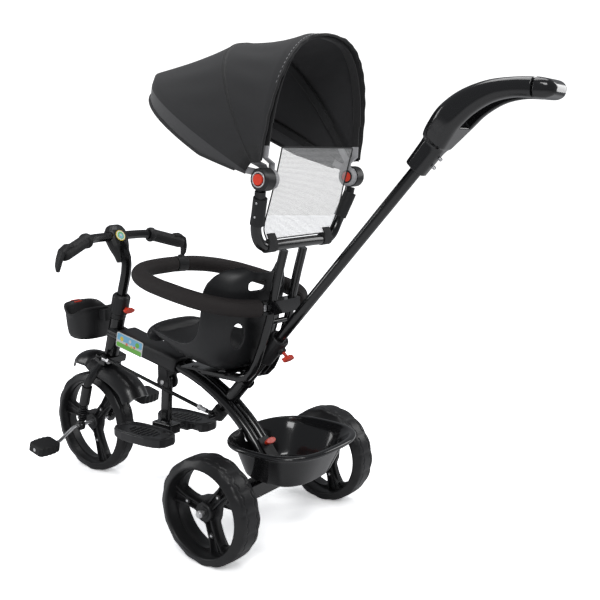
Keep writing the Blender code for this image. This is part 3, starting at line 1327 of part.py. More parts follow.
def add_bucket(head, collar_low, mats):
    """The small open bucket hooked to the stem collar, level when the fork points ahead."""
    level = pivot("bucket_level", head, (0, 0, 0), (RAKE, 0, 0))
    base = -HEAD_Z

    def d_ring(shrink, z_of):
        out = []
        steps = 20
        for i in range(steps):
            turn = 2 * math.pi * i / steps
            c, s = math.cos(turn), math.sin(turn)
            half_y = (BUCKET_REAR_Y - BUCKET_FRONT_Y) / 2 - shrink
            y = (BUCKET_REAR_Y + BUCKET_FRONT_Y) / 2 + half_y * math.copysign(abs(s) ** 0.72, s)
            x = (BUCKET_HALF_X - shrink) * math.copysign(abs(c) ** 0.80, c)
            out.append((x, y, base + z_of(x, y)))
        return out

    def rim(x, y):
        share = (y - BUCKET_FRONT_Y) / (BUCKET_REAR_Y - BUCKET_FRONT_Y)
        return BUCKET_TOP + 0.010 * math.cos(share * 2 * math.pi) - 0.004 * share

    def at(height):
        return lambda x, y: height

    loops = [d_ring(0.020, at(BUCKET_BOTTOM)), d_ring(0.009, at(BUCKET_BOTTOM + 0.005)),
             d_ring(0.004, at(BUCKET_BOTTOM + 0.016)), d_ring(-0.0015, lambda x, y: rim(x, y) - 0.004),
             d_ring(-0.0015, rim), d_ring(BUCKET_T, rim), d_ring(BUCKET_T + 0.004, at(BUCKET_BOTTOM + 0.016)),
             d_ring(0.013, at(BUCKET_BOTTOM + 0.0075)), d_ring(0.022, at(BUCKET_BOTTOM + BUCKET_T))]
    bucket = place("bucket", rings_mesh("bucket", loops, smooth=50.0), mats["plastic"], level)
    # A tongue at the front, and a hook that reaches the collar at the back.
    tab = block("bucket_tab", (-0.012, BUCKET_FRONT_Y - 0.012, base + BUCKET_TOP + 0.004),
                (0.012, BUCKET_FRONT_Y + 0.0022, base + BUCKET_TOP + 0.0095), 0.0015)
    join(bucket, tab)
    hook = block("bucket_hook", (-0.014, BUCKET_REAR_Y - 0.002, base + BUCKET_TOP - 0.027),
                 (0.014, BUCKET_REAR_Y + 0.020, base + BUCKET_TOP - 0.001), 0.003)
    join(bucket, hook)
    clear = barrel("hook_clear", COLLAR_R + GAP, collar_low - 0.06, collar_low + 0.1, 24)
    cut(bucket, clear, (0, 0, 0), (-RAKE, 0, 0))


def add_front_wheel(head, axle, mats):
    """The front wheel, its bent crankshaft and the two pedals."""
    spin = pivot("front_wheel_axis", head, axle, (RAKE, 0, 0))
    wheel = add_wheel("front_wheel", FRONT_WHEEL_R, FRONT_WHEEL_W, FRONT_AXLE_R + GAP, mats["tyre"], spin)
    end = Vector((0, math.cos(CRANK_ANGLE), math.sin(CRANK_ANGLE))) * CRANK_R
    outer = CRANK_X + 0.006 + PEDAL_L + 0.004
    bend = 0.006
    near = [(CRANK_X - bend, 0, 0), (CRANK_X, end.y * 0.075, end.z * 0.075),
            (CRANK_X, end.y * 0.925, end.z * 0.925), (CRANK_X + bend, end.y, end.z), (outer, end.y, end.z)]
    far = [(-x, -y, -z) for x, y, z in reversed(near)]
    crank = tube_mesh("crankshaft", [Vector(p) for p in far + near], FRONT_AXLE_R, rings=3)
    crank.shade_smooth()
    crank = place("crankshaft", crank, mats["chrome"], spin)
    for side, sign in (("left", 1), ("right", -1)):
        at = Vector((sign * (CRANK_X + 0.0105 + PEDAL_L / 2), sign * end.y, sign * end.z))
        joint = pivot(f"pedal_{side}_axis", spin, at)
        add_pedal(f"pedal_{side}", joint, mats)
    return wheel, crank


def add_pedal(name, joint, mats):
    """A pedal block with scalloped treads on both edges, bored for its spindle."""
    section = []
    steps = PEDAL_RIBS * 2
    for way in (1, -1):
        for i in range(steps + 1):
            share = i / steps
            x = way * (PEDAL_L / 2 - PEDAL_L * share)
            wave = 0.0026 * abs(math.sin(math.pi * share * PEDAL_RIBS))
            bulge = PEDAL_W / 2 - 0.007 * abs(2 * share - 1) ** 3
            section.append((x, way * (bulge - 0.0022 + wave)))
    rings = []
    top = PEDAL_T / 2
    for inset, z in ((0.003, -top), (0.0, -top + 0.003), (0.0, top - 0.003), (0.003, top)):
        rings.append([(x * (1 - 2 * inset / PEDAL_L), y * (1 - 2 * inset / PEDAL_W), z) for x, y in section])
    pedal = place(name, rings_mesh(name, rings), mats["rubber"], joint, rotation=(math.radians(-12), 0, 0))
    cut(pedal, along_x(barrel("pedal_bore", FRONT_AXLE_R + GAP, -0.06, 0.06, 12)))


def build():
    clear_scene()
    mats = {
        "paint": material("black_paint", BLACK, 0.28),
        "plastic": material("black_plastic", DARK_GREY, 0.45),
        "satin": material("satin_plastic", DARK_GREY, 0.38),
        "gloss": material("gloss_plastic", BLACK, 0.12),
        "tyre": material("moulded_tyre", DARK_GREY, 0.55),
        "rubber": material("soft_plastic", DARK_GREY, 0.60),
        "foam": material("foam_sleeve", FOAM, 0.85),
        "cloth": material("canopy_cloth", CLOTH, 0.80),
        "net": material("fine_net", NET, 0.80),
        "grey": material("grey_strap", GREY, 0.45),
        "steel": material("bright_steel", STEEL, 0.30, 1.0),
        "chrome": material("chromed_steel", STEEL, 0.12, 1.0),
        "black_steel": material("spring_steel", BLACK, 0.35, 0.6),
        "red": material("red_plastic", RED, 0.35),
    }
    root = pivot("rear_axle_ground", None, (0, REAR_AXLE_Y, 0))
    add_frame(root, mats)
    add_seat_carrier(root, mats)
    add_footrest(root, mats)
    add_seat(root, mats)
    add_guard(root, mats)
    add_canopy_frame(root, mats)
    add_canopy_cloth(root, mats)
    knob = add_basket(root, mats)
    add_knob("basket_knob", knob, mats["red"], thick=0.007)
    add_push_bar(root, mats)
    add_steering_rod(mats, root)
    head, axle = add_steering(root, mats)
    add_front_wheel(head, axle, mats)
    for side, sign in (("left", 1), ("right", -1)):
        spin = pivot(f"wheel_{side}_axis", root, (sign * REAR_TRACK / 2, 0, REAR_WHEEL_R))
        add_wheel(f"wheel_{side}", REAR_WHEEL_R, REAR_WHEEL_W, REAR_AXLE_R + RUNNING_GAP, mats["tyre"], spin)


build()
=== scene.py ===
import json
import math

import bmesh
import bpy
from mathutils import Matrix, Vector


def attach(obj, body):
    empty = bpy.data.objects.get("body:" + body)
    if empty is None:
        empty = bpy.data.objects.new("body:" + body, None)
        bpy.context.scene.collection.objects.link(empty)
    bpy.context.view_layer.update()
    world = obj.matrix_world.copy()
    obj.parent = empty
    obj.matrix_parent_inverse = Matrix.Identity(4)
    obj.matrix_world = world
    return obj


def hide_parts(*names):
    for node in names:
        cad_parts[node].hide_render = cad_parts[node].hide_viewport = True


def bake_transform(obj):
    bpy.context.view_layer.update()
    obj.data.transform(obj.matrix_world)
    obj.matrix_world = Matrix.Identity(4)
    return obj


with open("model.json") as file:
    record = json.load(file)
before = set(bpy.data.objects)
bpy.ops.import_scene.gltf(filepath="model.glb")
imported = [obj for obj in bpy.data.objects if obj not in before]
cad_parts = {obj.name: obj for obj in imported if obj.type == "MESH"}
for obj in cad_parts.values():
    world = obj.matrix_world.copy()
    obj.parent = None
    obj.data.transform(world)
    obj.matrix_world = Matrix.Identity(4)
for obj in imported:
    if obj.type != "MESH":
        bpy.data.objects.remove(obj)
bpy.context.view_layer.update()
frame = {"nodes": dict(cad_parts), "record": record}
nodes = frame["nodes"]

# %% [markdown]
# The camera comes first, so that every later look compares like with like.
# It stands behind the rider's left side, a little above the wheels, where the picture was taken.
# Azimuth, elevation and distance are easier to think in than a matrix, so the matrix is worked out from them.
# %% Camera
CAMERA_AZIMUTH = math.radians(126.4878)
CAMERA_ELEVATION = math.radians(9.8129)
CAMERA_ROLL = math.radians(0.1967)
CAMERA_TARGET = Vector((0.0, 0.1262, 0.4848))
CAMERA_DISTANCE = 1.6402
CAMERA_LENS = 50.70


def place_camera():
    a, e, roll = CAMERA_AZIMUTH, CAMERA_ELEVATION, CAMERA_ROLL
    back = Vector((math.sin(a) * math.cos(e), -math.cos(a) * math.cos(e), math.sin(e)))
    level = Vector((math.cos(a), math.sin(a), 0.0))
    upright = back.cross(level)
    right = level * math.cos(roll) + upright * math.sin(roll)
    up = -level * math.sin(roll) + upright * math.cos(roll)
    data = bpy.data.cameras.new("camera")
    data.lens = CAMERA_LENS
    data.sensor_width = 36.0
    camera = bpy.data.objects.new("camera", data)
    bpy.context.scene.collection.objects.link(camera)
    turn = Matrix((right, up, back)).transposed().to_4x4()
    camera.matrix_world = Matrix.Translation(CAMERA_TARGET + back * CAMERA_DISTANCE) @ turn
    bpy.context.scene.camera = camera
    return camera


print("camera at", [round(c, 3) for c in place_camera().matrix_world.translation])

# %% [markdown]
# A shader node takes several lines when it is made by hand, so two helpers come first.
# One makes a node and fills its inputs. The other lets a sum or a product be written as plain arithmetic.
# %% Node helpers
class Field:
    """A value that changes over a surface. Arithmetic with it makes the math nodes that work it out."""

    def __init__(self, socket):
        self.socket = socket

    def maths(self, operation, *others):
        return add_math(self.socket.id_data, operation, self, *others)

    def __add__(self, other):
        return self.maths("ADD", other)

    def __sub__(self, other):
        return self.maths("SUBTRACT", other)

    def __mul__(self, other):
        return self.maths("MULTIPLY", other)

    def clamped(self):
        """Keep the last result between nought and one."""
        self.socket.node.use_clamp = True
        return self


def feed(node, inputs):
    """Set each input of a node to a value, or link it to another node's output."""
    for label, value in inputs.items():
        if isinstance(value, Field):
            value = value.socket
        if isinstance(value, bpy.types.NodeSocket):
            node.id_data.links.new(value, node.inputs[label])
        else:
            node.inputs[label].default_value = value
    return node


def add_node(tree, kind, inputs=None, **settings):
    node = tree.nodes.new("ShaderNode" + kind)
    for label, value in settings.items():
        setattr(node, label, value)
    return feed(node, inputs or {})


def add_math(tree, operation, *values):
    return Field(add_node(tree, "Math", dict(enumerate(values)), operation=operation).outputs[0])


def empty_tree(holder):
    holder.use_nodes = True
    holder.node_tree.nodes.clear()
    return holder.node_tree


print("node helpers are ready")

# %% [markdown]
# Most of the tricycle is black, and black is drawn by what it reflects.
# Large soft lamps give long highlights along the tubes, and the white room fills in the rest.
# %% Light
bpy.context.scene.view_settings.view_transform = "Standard"
WHITE = (1, 1, 1, 1)
ROOM_FILL = (0.92, 0.95, 1.0, 1)
ROOM_SEEN_STRENGTH = 1.25
ROOM_FILL_STRENGTH = 0.20
LAMPS = {
    "key_lamp": ((2.1, 1.6, 2.3), (0, 0, 0.4), (1.1, 1.1), 25),
    "top_lamp": ((-0.2, 0.1, 2.6), (0, 0, 0.4), (1.5, 1.5), 22),
    "front_lamp": ((1.5, -2.2, 1.2), (0, -0.1, 0.4), (0.5, 1.6), 10),
    "far_lamp": ((-2.2, 1.2, 1.4), (0, 0, 0.5), (0.8, 1.4), 10),
}


def add_lamp(name, spot, aim, size, power):
    data = bpy.data.lights.new(name, "AREA")
    data.shape = "RECTANGLE"
    data.size, data.size_y = size
    data.energy = power
    lamp = bpy.data.objects.new(name, data)
    bpy.context.scene.collection.objects.link(lamp)
    lamp.location = spot
    lamp.rotation_euler = (Vector(aim) - Vector(spot)).to_track_quat("-Z", "Y").to_euler()


def light_the_room():
    """White where the camera looks past the object, and a softer grey for all other light."""
    world = bpy.data.worlds.new("studio")
    bpy.context.scene.world = world
    tree = empty_tree(world)
    seen = add_node(tree, "Background", {"Color": WHITE, "Strength": ROOM_SEEN_STRENGTH})
    fill = add_node(tree, "Background", {"Color": ROOM_FILL, "Strength": ROOM_FILL_STRENGTH})
    ray = add_node(tree, "LightPath").outputs["Is Camera Ray"]
    mix = add_node(tree, "MixShader", {"Fac": ray, 1: fill.outputs[0], 2: seen.outputs[0]})
    add_node(tree, "OutputWorld", {"Surface": mix.outputs[0]})


for name, values in LAMPS.items():
    add_lamp(name, *values)
light_the_room()
print("lamps:", *LAMPS)

# %% [markdown]
# The floor is a wide pale disc that keeps the tricycle's shadow and fades to white.
# The lamps fade with distance, so a glow that only the camera sees takes over away from the tricycle.
# %% Floor
FLOOR_RADIUS = 9.0
FLOOR_TONE = (0.80, 0.80, 0.81, 1)
FLOOR_SEEN = (2.5, 2.5, 2.5, 1)
FLOOR_GLOW = {"From Min": 0.5, "From Max": 1.6, "To Min": 0.30, "To Max": 1.0}


def add_floor():
    data = bpy.data.meshes.new("floor")
    shape = bmesh.new()
    bmesh.ops.create_circle(shape, cap_ends=True, radius=FLOOR_RADIUS, segments=64)
    shape.to_mesh(data)
    shape.free()
    floor = bpy.data.objects.new("floor", data)
    bpy.context.scene.collection.objects.link(floor)
    look = bpy.data.materials.new("pale_floor")
    tree = empty_tree(look)
    ray = add_node(tree, "LightPath").outputs["Is Camera Ray"]
    # Sockets 6 and 7 of the mix node are its two colours, and output 2 is the mixed one.
    tone = add_node(tree, "Mix", {"Factor": ray, 6: FLOOR_TONE, 7: FLOOR_SEEN}, data_type="RGBA").outputs[2]
    matt = add_node(tree, "BsdfDiffuse", {"Color": tone})
    place = add_node(tree, "TexCoord").outputs["Object"]
    reach = add_node(tree, "VectorMath", {0: place}, operation="LENGTH").outputs["Value"]
    fade = add_node(tree, "MapRange", {"Value": reach, **FLOOR_GLOW}, interpolation_type="SMOOTHSTEP")
    amount = add_math(tree, "MULTIPLY", ray, fade.outputs["Result"])
    glow = add_node(tree, "Emission", {"Color": WHITE, "Strength": amount})
    both = add_node(tree, "AddShader", {0: matt.outputs[0], 1: glow.outputs[0]})
    add_node(tree, "OutputMaterial", {"Surface": both.outputs[0]})
    data.materials.append(look)
    return floor


print("floor:", add_floor().name)

# %% [markdown]
# An effect is a group of nodes that several finishes can share. Each gives a colour, a roughness and a bump
# height. The helpers open an empty group, add noise to it, and tint a colour by a factor.
# %% Effect helpers
def socket_kind(label):
    return "NodeSocketColor" if label == "Colour" else "NodeSocketFloat"


def new_group(name, values, results=("Colour", "Roughness", "Height")):
    """An empty effect, with a socket for each value that it is given and each result that it makes."""
    tree = bpy.data.node_groups.new(name, "ShaderNodeTree")
    for label, value in values.items():
        socket = tree.interface.new_socket(label, in_out="INPUT", socket_type=socket_kind(label))
        socket.default_value = value
    for label in results:
        tree.interface.new_socket(label, in_out="OUTPUT", socket_type=socket_kind(label))
    return tree, tree.nodes.new("NodeGroupInput").outputs, tree.nodes.new("NodeGroupOutput")


def noise_field(tree, place, scale, detail=3.0, stretch=(1, 1, 1)):
    spread = add_node(tree, "Mapping", {"Vector": place, "Scale": stretch}).outputs["Vector"]
    noise = add_node(tree, "TexNoise", {"Vector": spread, "Scale": scale, "Detail": detail})
    return Field(noise.outputs["Fac"])


def tinted(tree, colour, amount):
    """A colour made lighter or darker by a factor that changes over the surface."""
    return add_node(tree, "VectorMath", {0: colour, "Scale": amount}, operation="SCALE").outputs["Vector"]


print("sockets:", socket_kind("Colour"), "and", socket_kind("Roughness"))

# %% [markdown]
# Moulded plastic is never one even colour: it has a fine grain from the steel mould and slight flow marks.
# Noise at two sizes gives both. Rubbed edges go paler and smoother, which the mesh's pointiness finds
# without any painting by hand. Steel gets fine lines instead, and cloth gets crossing threads.
# %% Shared effects
def make_grain():
    tree, given, made = new_group("mould_grain", {"Colour": (0.02, 0.02, 0.02, 1), "Roughness": 0.4,
                                                  "Grain Scale": 900.0, "Mottle": 0.25, "Edge Wear": 0.3})
    place = add_node(tree, "TexCoord").outputs["Object"]
    edge = Field(add_node(tree, "NewGeometry").outputs["Pointiness"])
    worn = ((edge - 0.53) * 9.0).clamped() * given["Edge Wear"]
    swing = (noise_field(tree, place, 14.0, 4.0) - 0.5) * given["Mottle"]
    feed(made, {"Colour": tinted(tree, given["Colour"], swing + 1.0 + worn * 1.6),
                "Roughness": (swing * 0.5 + given["Roughness"] - worn * 0.10).clamped(),
                "Height": noise_field(tree, place, given["Grain Scale"], 2.0)})
    return tree


def make_brush():
    """Fine lines along one direction, for plated and drawn steel."""
    tree, given, made = new_group("drawn_lines", {"Colour": (0.6, 0.6, 0.6, 1), "Roughness": 0.25,
                                                  "Depth": 0.2})
    place = add_node(tree, "TexCoord").outputs["Object"]
    lines = noise_field(tree, place, 60.0, 3.0, (1, 30, 30))
    swing = (lines - 0.5) * given["Depth"]
    stain = (noise_field(tree, place, 30.0) - 0.5) * 0.35
    feed(made, {"Colour": tinted(tree, given["Colour"], swing + 1.0 + stain),
                "Roughness": (swing + given["Roughness"]).clamped(), "Height": lines})
    return tree


def make_weave():
    """Warp and weft threads that pass over each other, drawn in the cloth's own flat coordinates."""
    tree, given, made = new_group("plain_weave", {"Colour": (0.04, 0.04, 0.04, 1), "Threads": 900.0,
                                                  "Contrast": 0.35})
    place = add_node(tree, "UVMap").outputs["UV"]
    split = add_node(tree, "SeparateXYZ", {"Vector": place})
    across, along = ((Field(split.outputs[axis]) * given["Threads"]).maths("SINE") for axis in "XY")
    weave = across * along * 0.5
    slub = noise_field(tree, place, 60.0, 4.0, (1, 8, 1)) - 0.5
    broad = noise_field(tree, place, 7.0) - 0.5
    total = weave + slub * 1.2 + broad * 0.7
    feed(made, {"Colour": tinted(tree, given["Colour"], total * given["Contrast"] + 1.0),
                "Roughness": total * 0.08 + 0.82, "Height": weave})
    return tree


GRAIN, BRUSH, WEAVE = make_grain(), make_brush(), make_weave()
print("effects:", GRAIN.name, BRUSH.name, WEAVE.name)

# %% [markdown]
# A finish is one shader with one effect in front of it. The shader keeps what is the same all over,
# such as the clear coat or the sheen, and the effect feeds only what changes from place to place.
# Three kinds are enough: a grain for plastic, rubber and paint, lines for plated steel, a weave for cloth.
# %% Finish helpers
BUMP_DEPTH = 0.0004
THREAD_DEPTH = 0.0003
PORE_DEPTH = 0.0008


def new_finish(name, effect, colour, values, bump, depth, **shader):
    look = bpy.data.materials.new(name)
    look.use_nodes = True
    tree = look.node_tree
    group = add_node(tree, "Group", {"Colour": (*colour, 1), **values}, node_tree=effect).outputs
    raised = add_node(tree, "Bump", {"Strength": bump, "Distance": depth, "Height": group["Height"]})
    surface = tree.nodes["Principled BSDF"]
    feed(surface, {label.replace("_", " "): value for label, value in shader.items()})
    feed(surface, {"Base Color": group["Colour"], "Roughness": group["Roughness"],
                   "Normal": raised.outputs["Normal"]})
    return look


def grained(name, colour, roughness, grain, mottle, wear, bump, depth=BUMP_DEPTH, **shader):
    values = {"Roughness": roughness, "Grain Scale": grain, "Mottle": mottle, "Edge Wear": wear}
    return new_finish(name, GRAIN, colour, values, bump, depth, **shader)


def plated(name, colour, roughness, lines, bump, metal):
    values = {"Roughness": roughness, "Depth": lines}
    return new_finish(name, BRUSH, colour, values, bump, BUMP_DEPTH, Metallic=metal)


def woven(name, colour, threads, contrast, bump, **shader):
    values = {"Threads": threads, "Contrast": contrast}
    return new_finish(name, WEAVE, colour, values, bump, THREAD_DEPTH, **shader)


print("bump depths:", BUMP_DEPTH, THREAD_DEPTH, PORE_DEPTH)

# %% [markdown]
# Nearly all of it is black, so the finishes differ by gloss and grain more than by colour: wet enamel on the
# tubes, a shiny basket, a matt seat, dull tyres. Zinc, red knobs and grey arms are the only bright notes.
# %% Finishes
# A grained finish is colour, roughness, grain scale, mottle, edge wear and bump strength.
paint = grained("black_enamel", (0.006, 0.006, 0.0065), 0.20, 500.0, 0.12, 0.15, 0.02,
                Coat_Weight=0.6, Coat_Roughness=0.06)
gloss = grained("gloss_moulding", (0.012, 0.012, 0.013), 0.16, 260.0, 0.10, 0.10, 0.015,
                Coat_Weight=0.5, Coat_Roughness=0.04)
# The mudguard is the same glossy black plastic as the basket. Its finish is rougher, and its colour is
# painted a little lighter: painted light that brightens a glossy black which reflects a dark room.
lightened_hood_look = grained("lightened_hood_moulding", (0.016, 0.016, 0.017), 0.30, 500.0, 0.12, 0.2, 0.02,
                    Coat_Weight=0.3, Coat_Roughness=0.22)
matt = grained("matt_moulding", (0.018, 0.018, 0.019), 0.40, 1500.0, 0.25, 0.5, 0.10)
satin = grained("seat_moulding", (0.021, 0.0215, 0.023), 0.40, 1300.0, 0.22, 0.4, 0.08)
pad_look = grained("pad_moulding", (0.032, 0.032, 0.034), 0.30, 1200.0, 0.25, 0.6, 0.06)
wheel_black = grained("wheel_moulding", (0.017, 0.017, 0.018), 0.36, 1100.0, 0.35, 0.6, 0.14)
soft_black = grained("soft_grip", (0.016, 0.016, 0.017), 0.55, 1600.0, 0.3, 0.4, 0.2)
foam_look = grained("foam_skin", (0.025, 0.020, 0.0195), 0.70, 650.0, 0.35, 0.0, 0.5, PORE_DEPTH)
grey = grained("grey_moulding", (0.38, 0.38, 0.39), 0.42, 900.0, 0.2, 0.3, 0.08)
arm_grey = grained("arm_moulding", (0.42, 0.42, 0.43), 0.36, 900.0, 0.2, 0.3, 0.06)
red = grained("red_moulding", (0.90, 0.060, 0.025), 0.34, 900.0, 0.16, 0.2, 0.06, Coat_Weight=0.2)
# A plated finish is colour, roughness, depth of the lines, bump strength and how metallic it is.
steel = plated("zinc_plate", (0.84, 0.84, 0.85), 0.34, 0.25, 0.05, 0.75)
chrome = plated("bright_chrome", (0.88, 0.88, 0.89), 0.16, 0.08, 0.02, 0.8)
wire = plated("spring_wire", (0.03, 0.03, 0.032), 0.32, 0.2, 0.05, 0.6)
# A woven finish is colour, thread count, contrast and bump strength.
cloth = woven("canopy_weave", (0.030, 0.030, 0.032), 2600.0, 0.30, 0.35,
              Sheen_Weight=0.10, Sheen_Roughness=0.5)
binding = woven("binding_tape", (0.018, 0.018, 0.019), 5200.0, 0.4, 0.5, Sheen_Weight=0.2)
brim_cloth = woven("brim_tape", (0.060, 0.060, 0.063), 3400.0, 0.35, 0.4, Sheen_Weight=0.3)

FINISH_OF_SLOT = {
    "black_paint": paint, "black_plastic": matt, "satin_plastic": satin, "gloss_plastic": gloss,
    "moulded_tyre": wheel_black, "soft_plastic": soft_black, "foam_sleeve": foam_look,
    "canopy_cloth": cloth, "fine_net": grey, "grey_strap": grey, "bright_steel": steel,
    "chromed_steel": chrome, "spring_steel": wire, "red_plastic": red,
}
print("finishes:", len(FINISH_OF_SLOT))

# %% [markdown]
# The frame's meshes are faceted, so their normals are averaged across every bend that is gentle enough.
# Only the normals change, never a point. Then each node takes the finish that its slot in the record names.
# %% Dressed frame
SOFT_EDGE = math.radians(38)


def round_shading(data, limit=SOFT_EDGE):
    corners = {}
    for face in data.polygons:
        for index in face.loop_indices:
            place = tuple(round(c * 1e5) for c in data.vertices[data.loops[index].vertex_index].co)
            corners.setdefault(place, []).append((index, face.normal.copy(), face.area))
    least = math.cos(limit)
    normals = [None] * len(data.loops)
    for group in corners.values():
        for index, own, _ in group:
            total = Vector()
            for _, other, area in group:
                if own.dot(other) > least:
                    total += other * area
            normals[index] = tuple(total.normalized()) if total.length > 0 else tuple(own)
    data.shade_smooth()
    data.normals_split_custom_set(normals)


def dress_frame():
    for part in frame["record"]["subparts"]:
        node = nodes[part["node"]]
        round_shading(node.data)
        node.data.materials.clear()
        node.data.materials.append(FINISH_OF_SLOT[part["material_slot"]])
    return len(frame["record"]["subparts"])


print("dressed nodes:", dress_frame())

# %% [markdown]
# Soft pieces and large mouldings are rebuilt here with more faces than the construction needs.
# Most are a path that is swept with a section, or a row of rings with a skin over them.
# Sizes repeat the construction's own, and the whole object sits this far behind the drawing's zero.
# %% Shape helpers
SHIFT = Vector((0.0, 0.0609, 0.0))


def link(name, data, look=None, body=None):
    piece = bpy.data.objects.new(name, data)
    bpy.context.scene.collection.objects.link(piece)
    if look:
        piece.data.materials.append(look)
    if body:
        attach(piece, body)
    return piece


def mesh_of(name, points, faces, smooth=180.0):
    data = bpy.data.meshes.new(name)
    data.from_pydata([tuple(p) for p in points], [], faces)
    data.validate()
    data.update()
    data.shade_smooth()
    if smooth < 180.0:
        data.set_sharp_from_angle(angle=math.radians(smooth))
    return data


def loft(name, rings, closed=False, smooth=60.0):
    """Skin a row of equal rings, with a cap on each end unless the row closes on itself."""
    size = len(rings[0])
    faces = []
    for i in range(len(rings) if closed else len(rings) - 1):
        low, high = i * size, (i + 1) % len(rings) * size
        for j in range(size):
            k = (j + 1) % size
            faces.append((low + j, high + j, high + k, low + k))
    if not closed:
        faces.append(tuple(range(size)))
        faces.append(tuple((len(rings) - 1) * size + j for j in reversed(range(size))))
    return mesh_of(name, [p for ring in rings for p in ring], faces, smooth)


def prism(name, outline, heights, smooth=60.0):
    """A flat outline carried straight from one height to another."""
    return loft(name, [[(u, v, z) for u, v in outline] for z in heights], smooth=smooth)


def sweep(name, path, section, up=(0, 0, 1), scale=None, closed=False, smooth=60.0):
    """Carry a flat section along a path, with an optional size at each point."""
    up = Vector(up)
    rings = []
    count = len(path)
    for i, point in enumerate(path):
        before = path[(i - 1) % count] if closed or i else point
        after = path[(i + 1) % count] if closed or i < count - 1 else point
        ahead = (after - before).normalized()
        side = (up - ahead * up.dot(ahead)).normalized()
        normal = ahead.cross(side)
        size = scale[i] if scale else 1.0
        rings.append([point + side * u * size + normal * v * size for u, v in section])
    return loft(name, rings, closed, smooth)


def apply_modifiers(piece):
    """Keep the shape that the modifiers make and drop the modifiers."""
    graph = bpy.context.evaluated_depsgraph_get()
    made = bpy.data.meshes.new_from_object(piece.evaluated_get(graph))
    piece.modifiers.clear()
    piece.data = made
    return piece


def thicken(piece, thickness):
    """Give a sheet its thickness, half to each side."""
    solid = piece.modifiers.new("thickness", "SOLIDIFY")
    solid.thickness = thickness
    solid.offset = 0.0
    return apply_modifiers(piece)


print("drawing's zero sits at y =", round(SHIFT.y, 4))

# %% [markdown]
# Outlines are round, squared off by a power, or boxes with rounded corners. Paths run smoothly through a few
# points, and can be spaced again so that every step has the same length.
# %% Outlines and paths
def around(steps):
    """The cosine and the sine at each step of one full turn."""
    return [(math.cos(2 * math.pi * i / steps), math.sin(2 * math.pi * i / steps)) for i in range(steps)]


def squared(value, power):
    """A cosine or sine with its size raised to a power, which squares a round outline off."""
    return math.copysign(abs(value) ** power, value)


def round_section(radius, steps=24):
    return [(radius * c, radius * s) for c, s in around(steps)]


def rounded_box(width, height, corner, steps=6):
    out = []
    for cx, cy, start in ((1, 1, 0), (-1, 1, 90), (-1, -1, 180), (1, -1, 270)):
        for i in range(steps + 1):
            turn = math.radians(start + 90 * i / steps)
            out.append((cx * (width / 2 - corner) + corner * math.cos(turn),
                        cy * (height / 2 - corner) + corner * math.sin(turn)))
    return out


def spaced(path, count):
    """The same path with evenly spaced points."""
    lengths = [0.0]
    for a, b in zip(path, path[1:]):
        lengths.append(lengths[-1] + (b - a).length)
    out = []
    k = 0
    for i in range(count + 1):
        want = lengths[-1] * i / count
        while k < len(path) - 2 and lengths[k + 1] < want:
            k += 1
        span = max(lengths[k + 1] - lengths[k], 1e-9)
        out.append(path[k].lerp(path[k + 1], (want - lengths[k]) / span))
    return out


def curve_through(points, per_span=8):
    """A smooth path through a few points."""
    ends = [points[0] * 2 - points[1]] + list(points) + [points[-1] * 2 - points[-2]]
    out = []
    for i in range(1, len(ends) - 2):
        p0, p1, p2, p3 = ends[i - 1:i + 3]
        for k in range(per_span):
            t = k / per_span
            out.append(0.5 * ((2 * p1) + (p2 - p0) * t + (2 * p0 - 5 * p1 + 4 * p2 - p3) * t ** 2
                              + (3 * p1 - p0 - 3 * p2 + p3) * t ** 3))
    out.append(points[-1].copy())
    return out


def grid_faces(rows, cols):
    return [(i * cols + j, i * cols + j + 1, (i + 1) * cols + j + 1, (i + 1) * cols + j)
            for i in range(rows - 1) for j in range(cols - 1)]


def path_length(path):
    return sum((b - a).length for a, b in zip(path, path[1:]))


print("a box outline has", len(rounded_box(1, 1, 0.1)), "points, a round one", len(round_section(1)))

# %% [markdown]
# The canopy is one sheet that runs over three bows, with a seam over the middle one.
# It is drawn in a little between the bows, because taut cloth always takes the short way across.
# Every arch is a squared-off half ellipse from hem to hem that leans about the hubs.
# %% Canopy sizes
HUB = Vector((0.0, 0.0903, 0.7200)) + SHIFT
PULLED_TO = HUB + Vector((0, 0, 0.10))
ARCH_POWER = 2.6
FRONT_POWER = 2.2
CLOTH_HALF = 0.1568
CLOTH_LIFT = 0.0048
CLOTH_THICK = 0.0014
CLOTH_COLUMNS = 64
RIPPLE = 0.0009
RIPPLES = 23
# Each bow is its height, its lean and the power of its arch.
REAR_BOW = (0.2530, math.radians(6.4), ARCH_POWER)
MID_BOW = (0.2840, math.radians(-29.4), ARCH_POWER)
FRONT_BOW = (0.4180, math.radians(-61.5), FRONT_POWER)
REAR_EDGE_LEAN = math.radians(10.0)
BRIM_LEAN = math.radians(-64.7)
BRIM_DROP = 0.026
HEM_TURN = 0.06


def arch_point(height, lean, power, drop, turn):
    c, s = math.cos(turn), math.sin(turn)
    r = (height + CLOTH_LIFT) * abs(s) ** (2 / power)
    fall = drop * abs(c) ** 0.6 * min(1.0, s / 0.35)
    return Vector((CLOTH_HALF * squared(c, 2 / power), HUB.y + r * math.sin(lean),
                   HUB.z + r * math.cos(lean) - fall))


def cloth_rows(stops, sags, counts):
    """Rows of points from one arch to the next, drawn in between them towards a point above the hubs."""
    rows = []
    for k, (start, stop) in enumerate(zip(stops, stops[1:])):
        for i in range(counts[k] + (k == len(stops) - 2)):
            share = i / counts[k]
            row = []
            for j in range(CLOTH_COLUMNS + 1):
                turn = HEM_TURN + (math.pi - 2 * HEM_TURN) * j / CLOTH_COLUMNS
                point = arch_point(*start, turn).lerp(arch_point(*stop, turn), share)
                inward = (PULLED_TO - point).normalized()
                ripple = RIPPLE * math.sin(turn * RIPPLES + 5 * share) * math.sin(math.pi * share)
                pull = sags[k] * math.sin(turn) * 4 * share * (1 - share)
                row.append(point + inward * (pull + ripple * (sags[k] > 0)))
            rows.append(row)
    return rows


print("cloth over the rear bow at", round(arch_point(*REAR_BOW, 0.0, math.pi / 2).z, 3), "m")

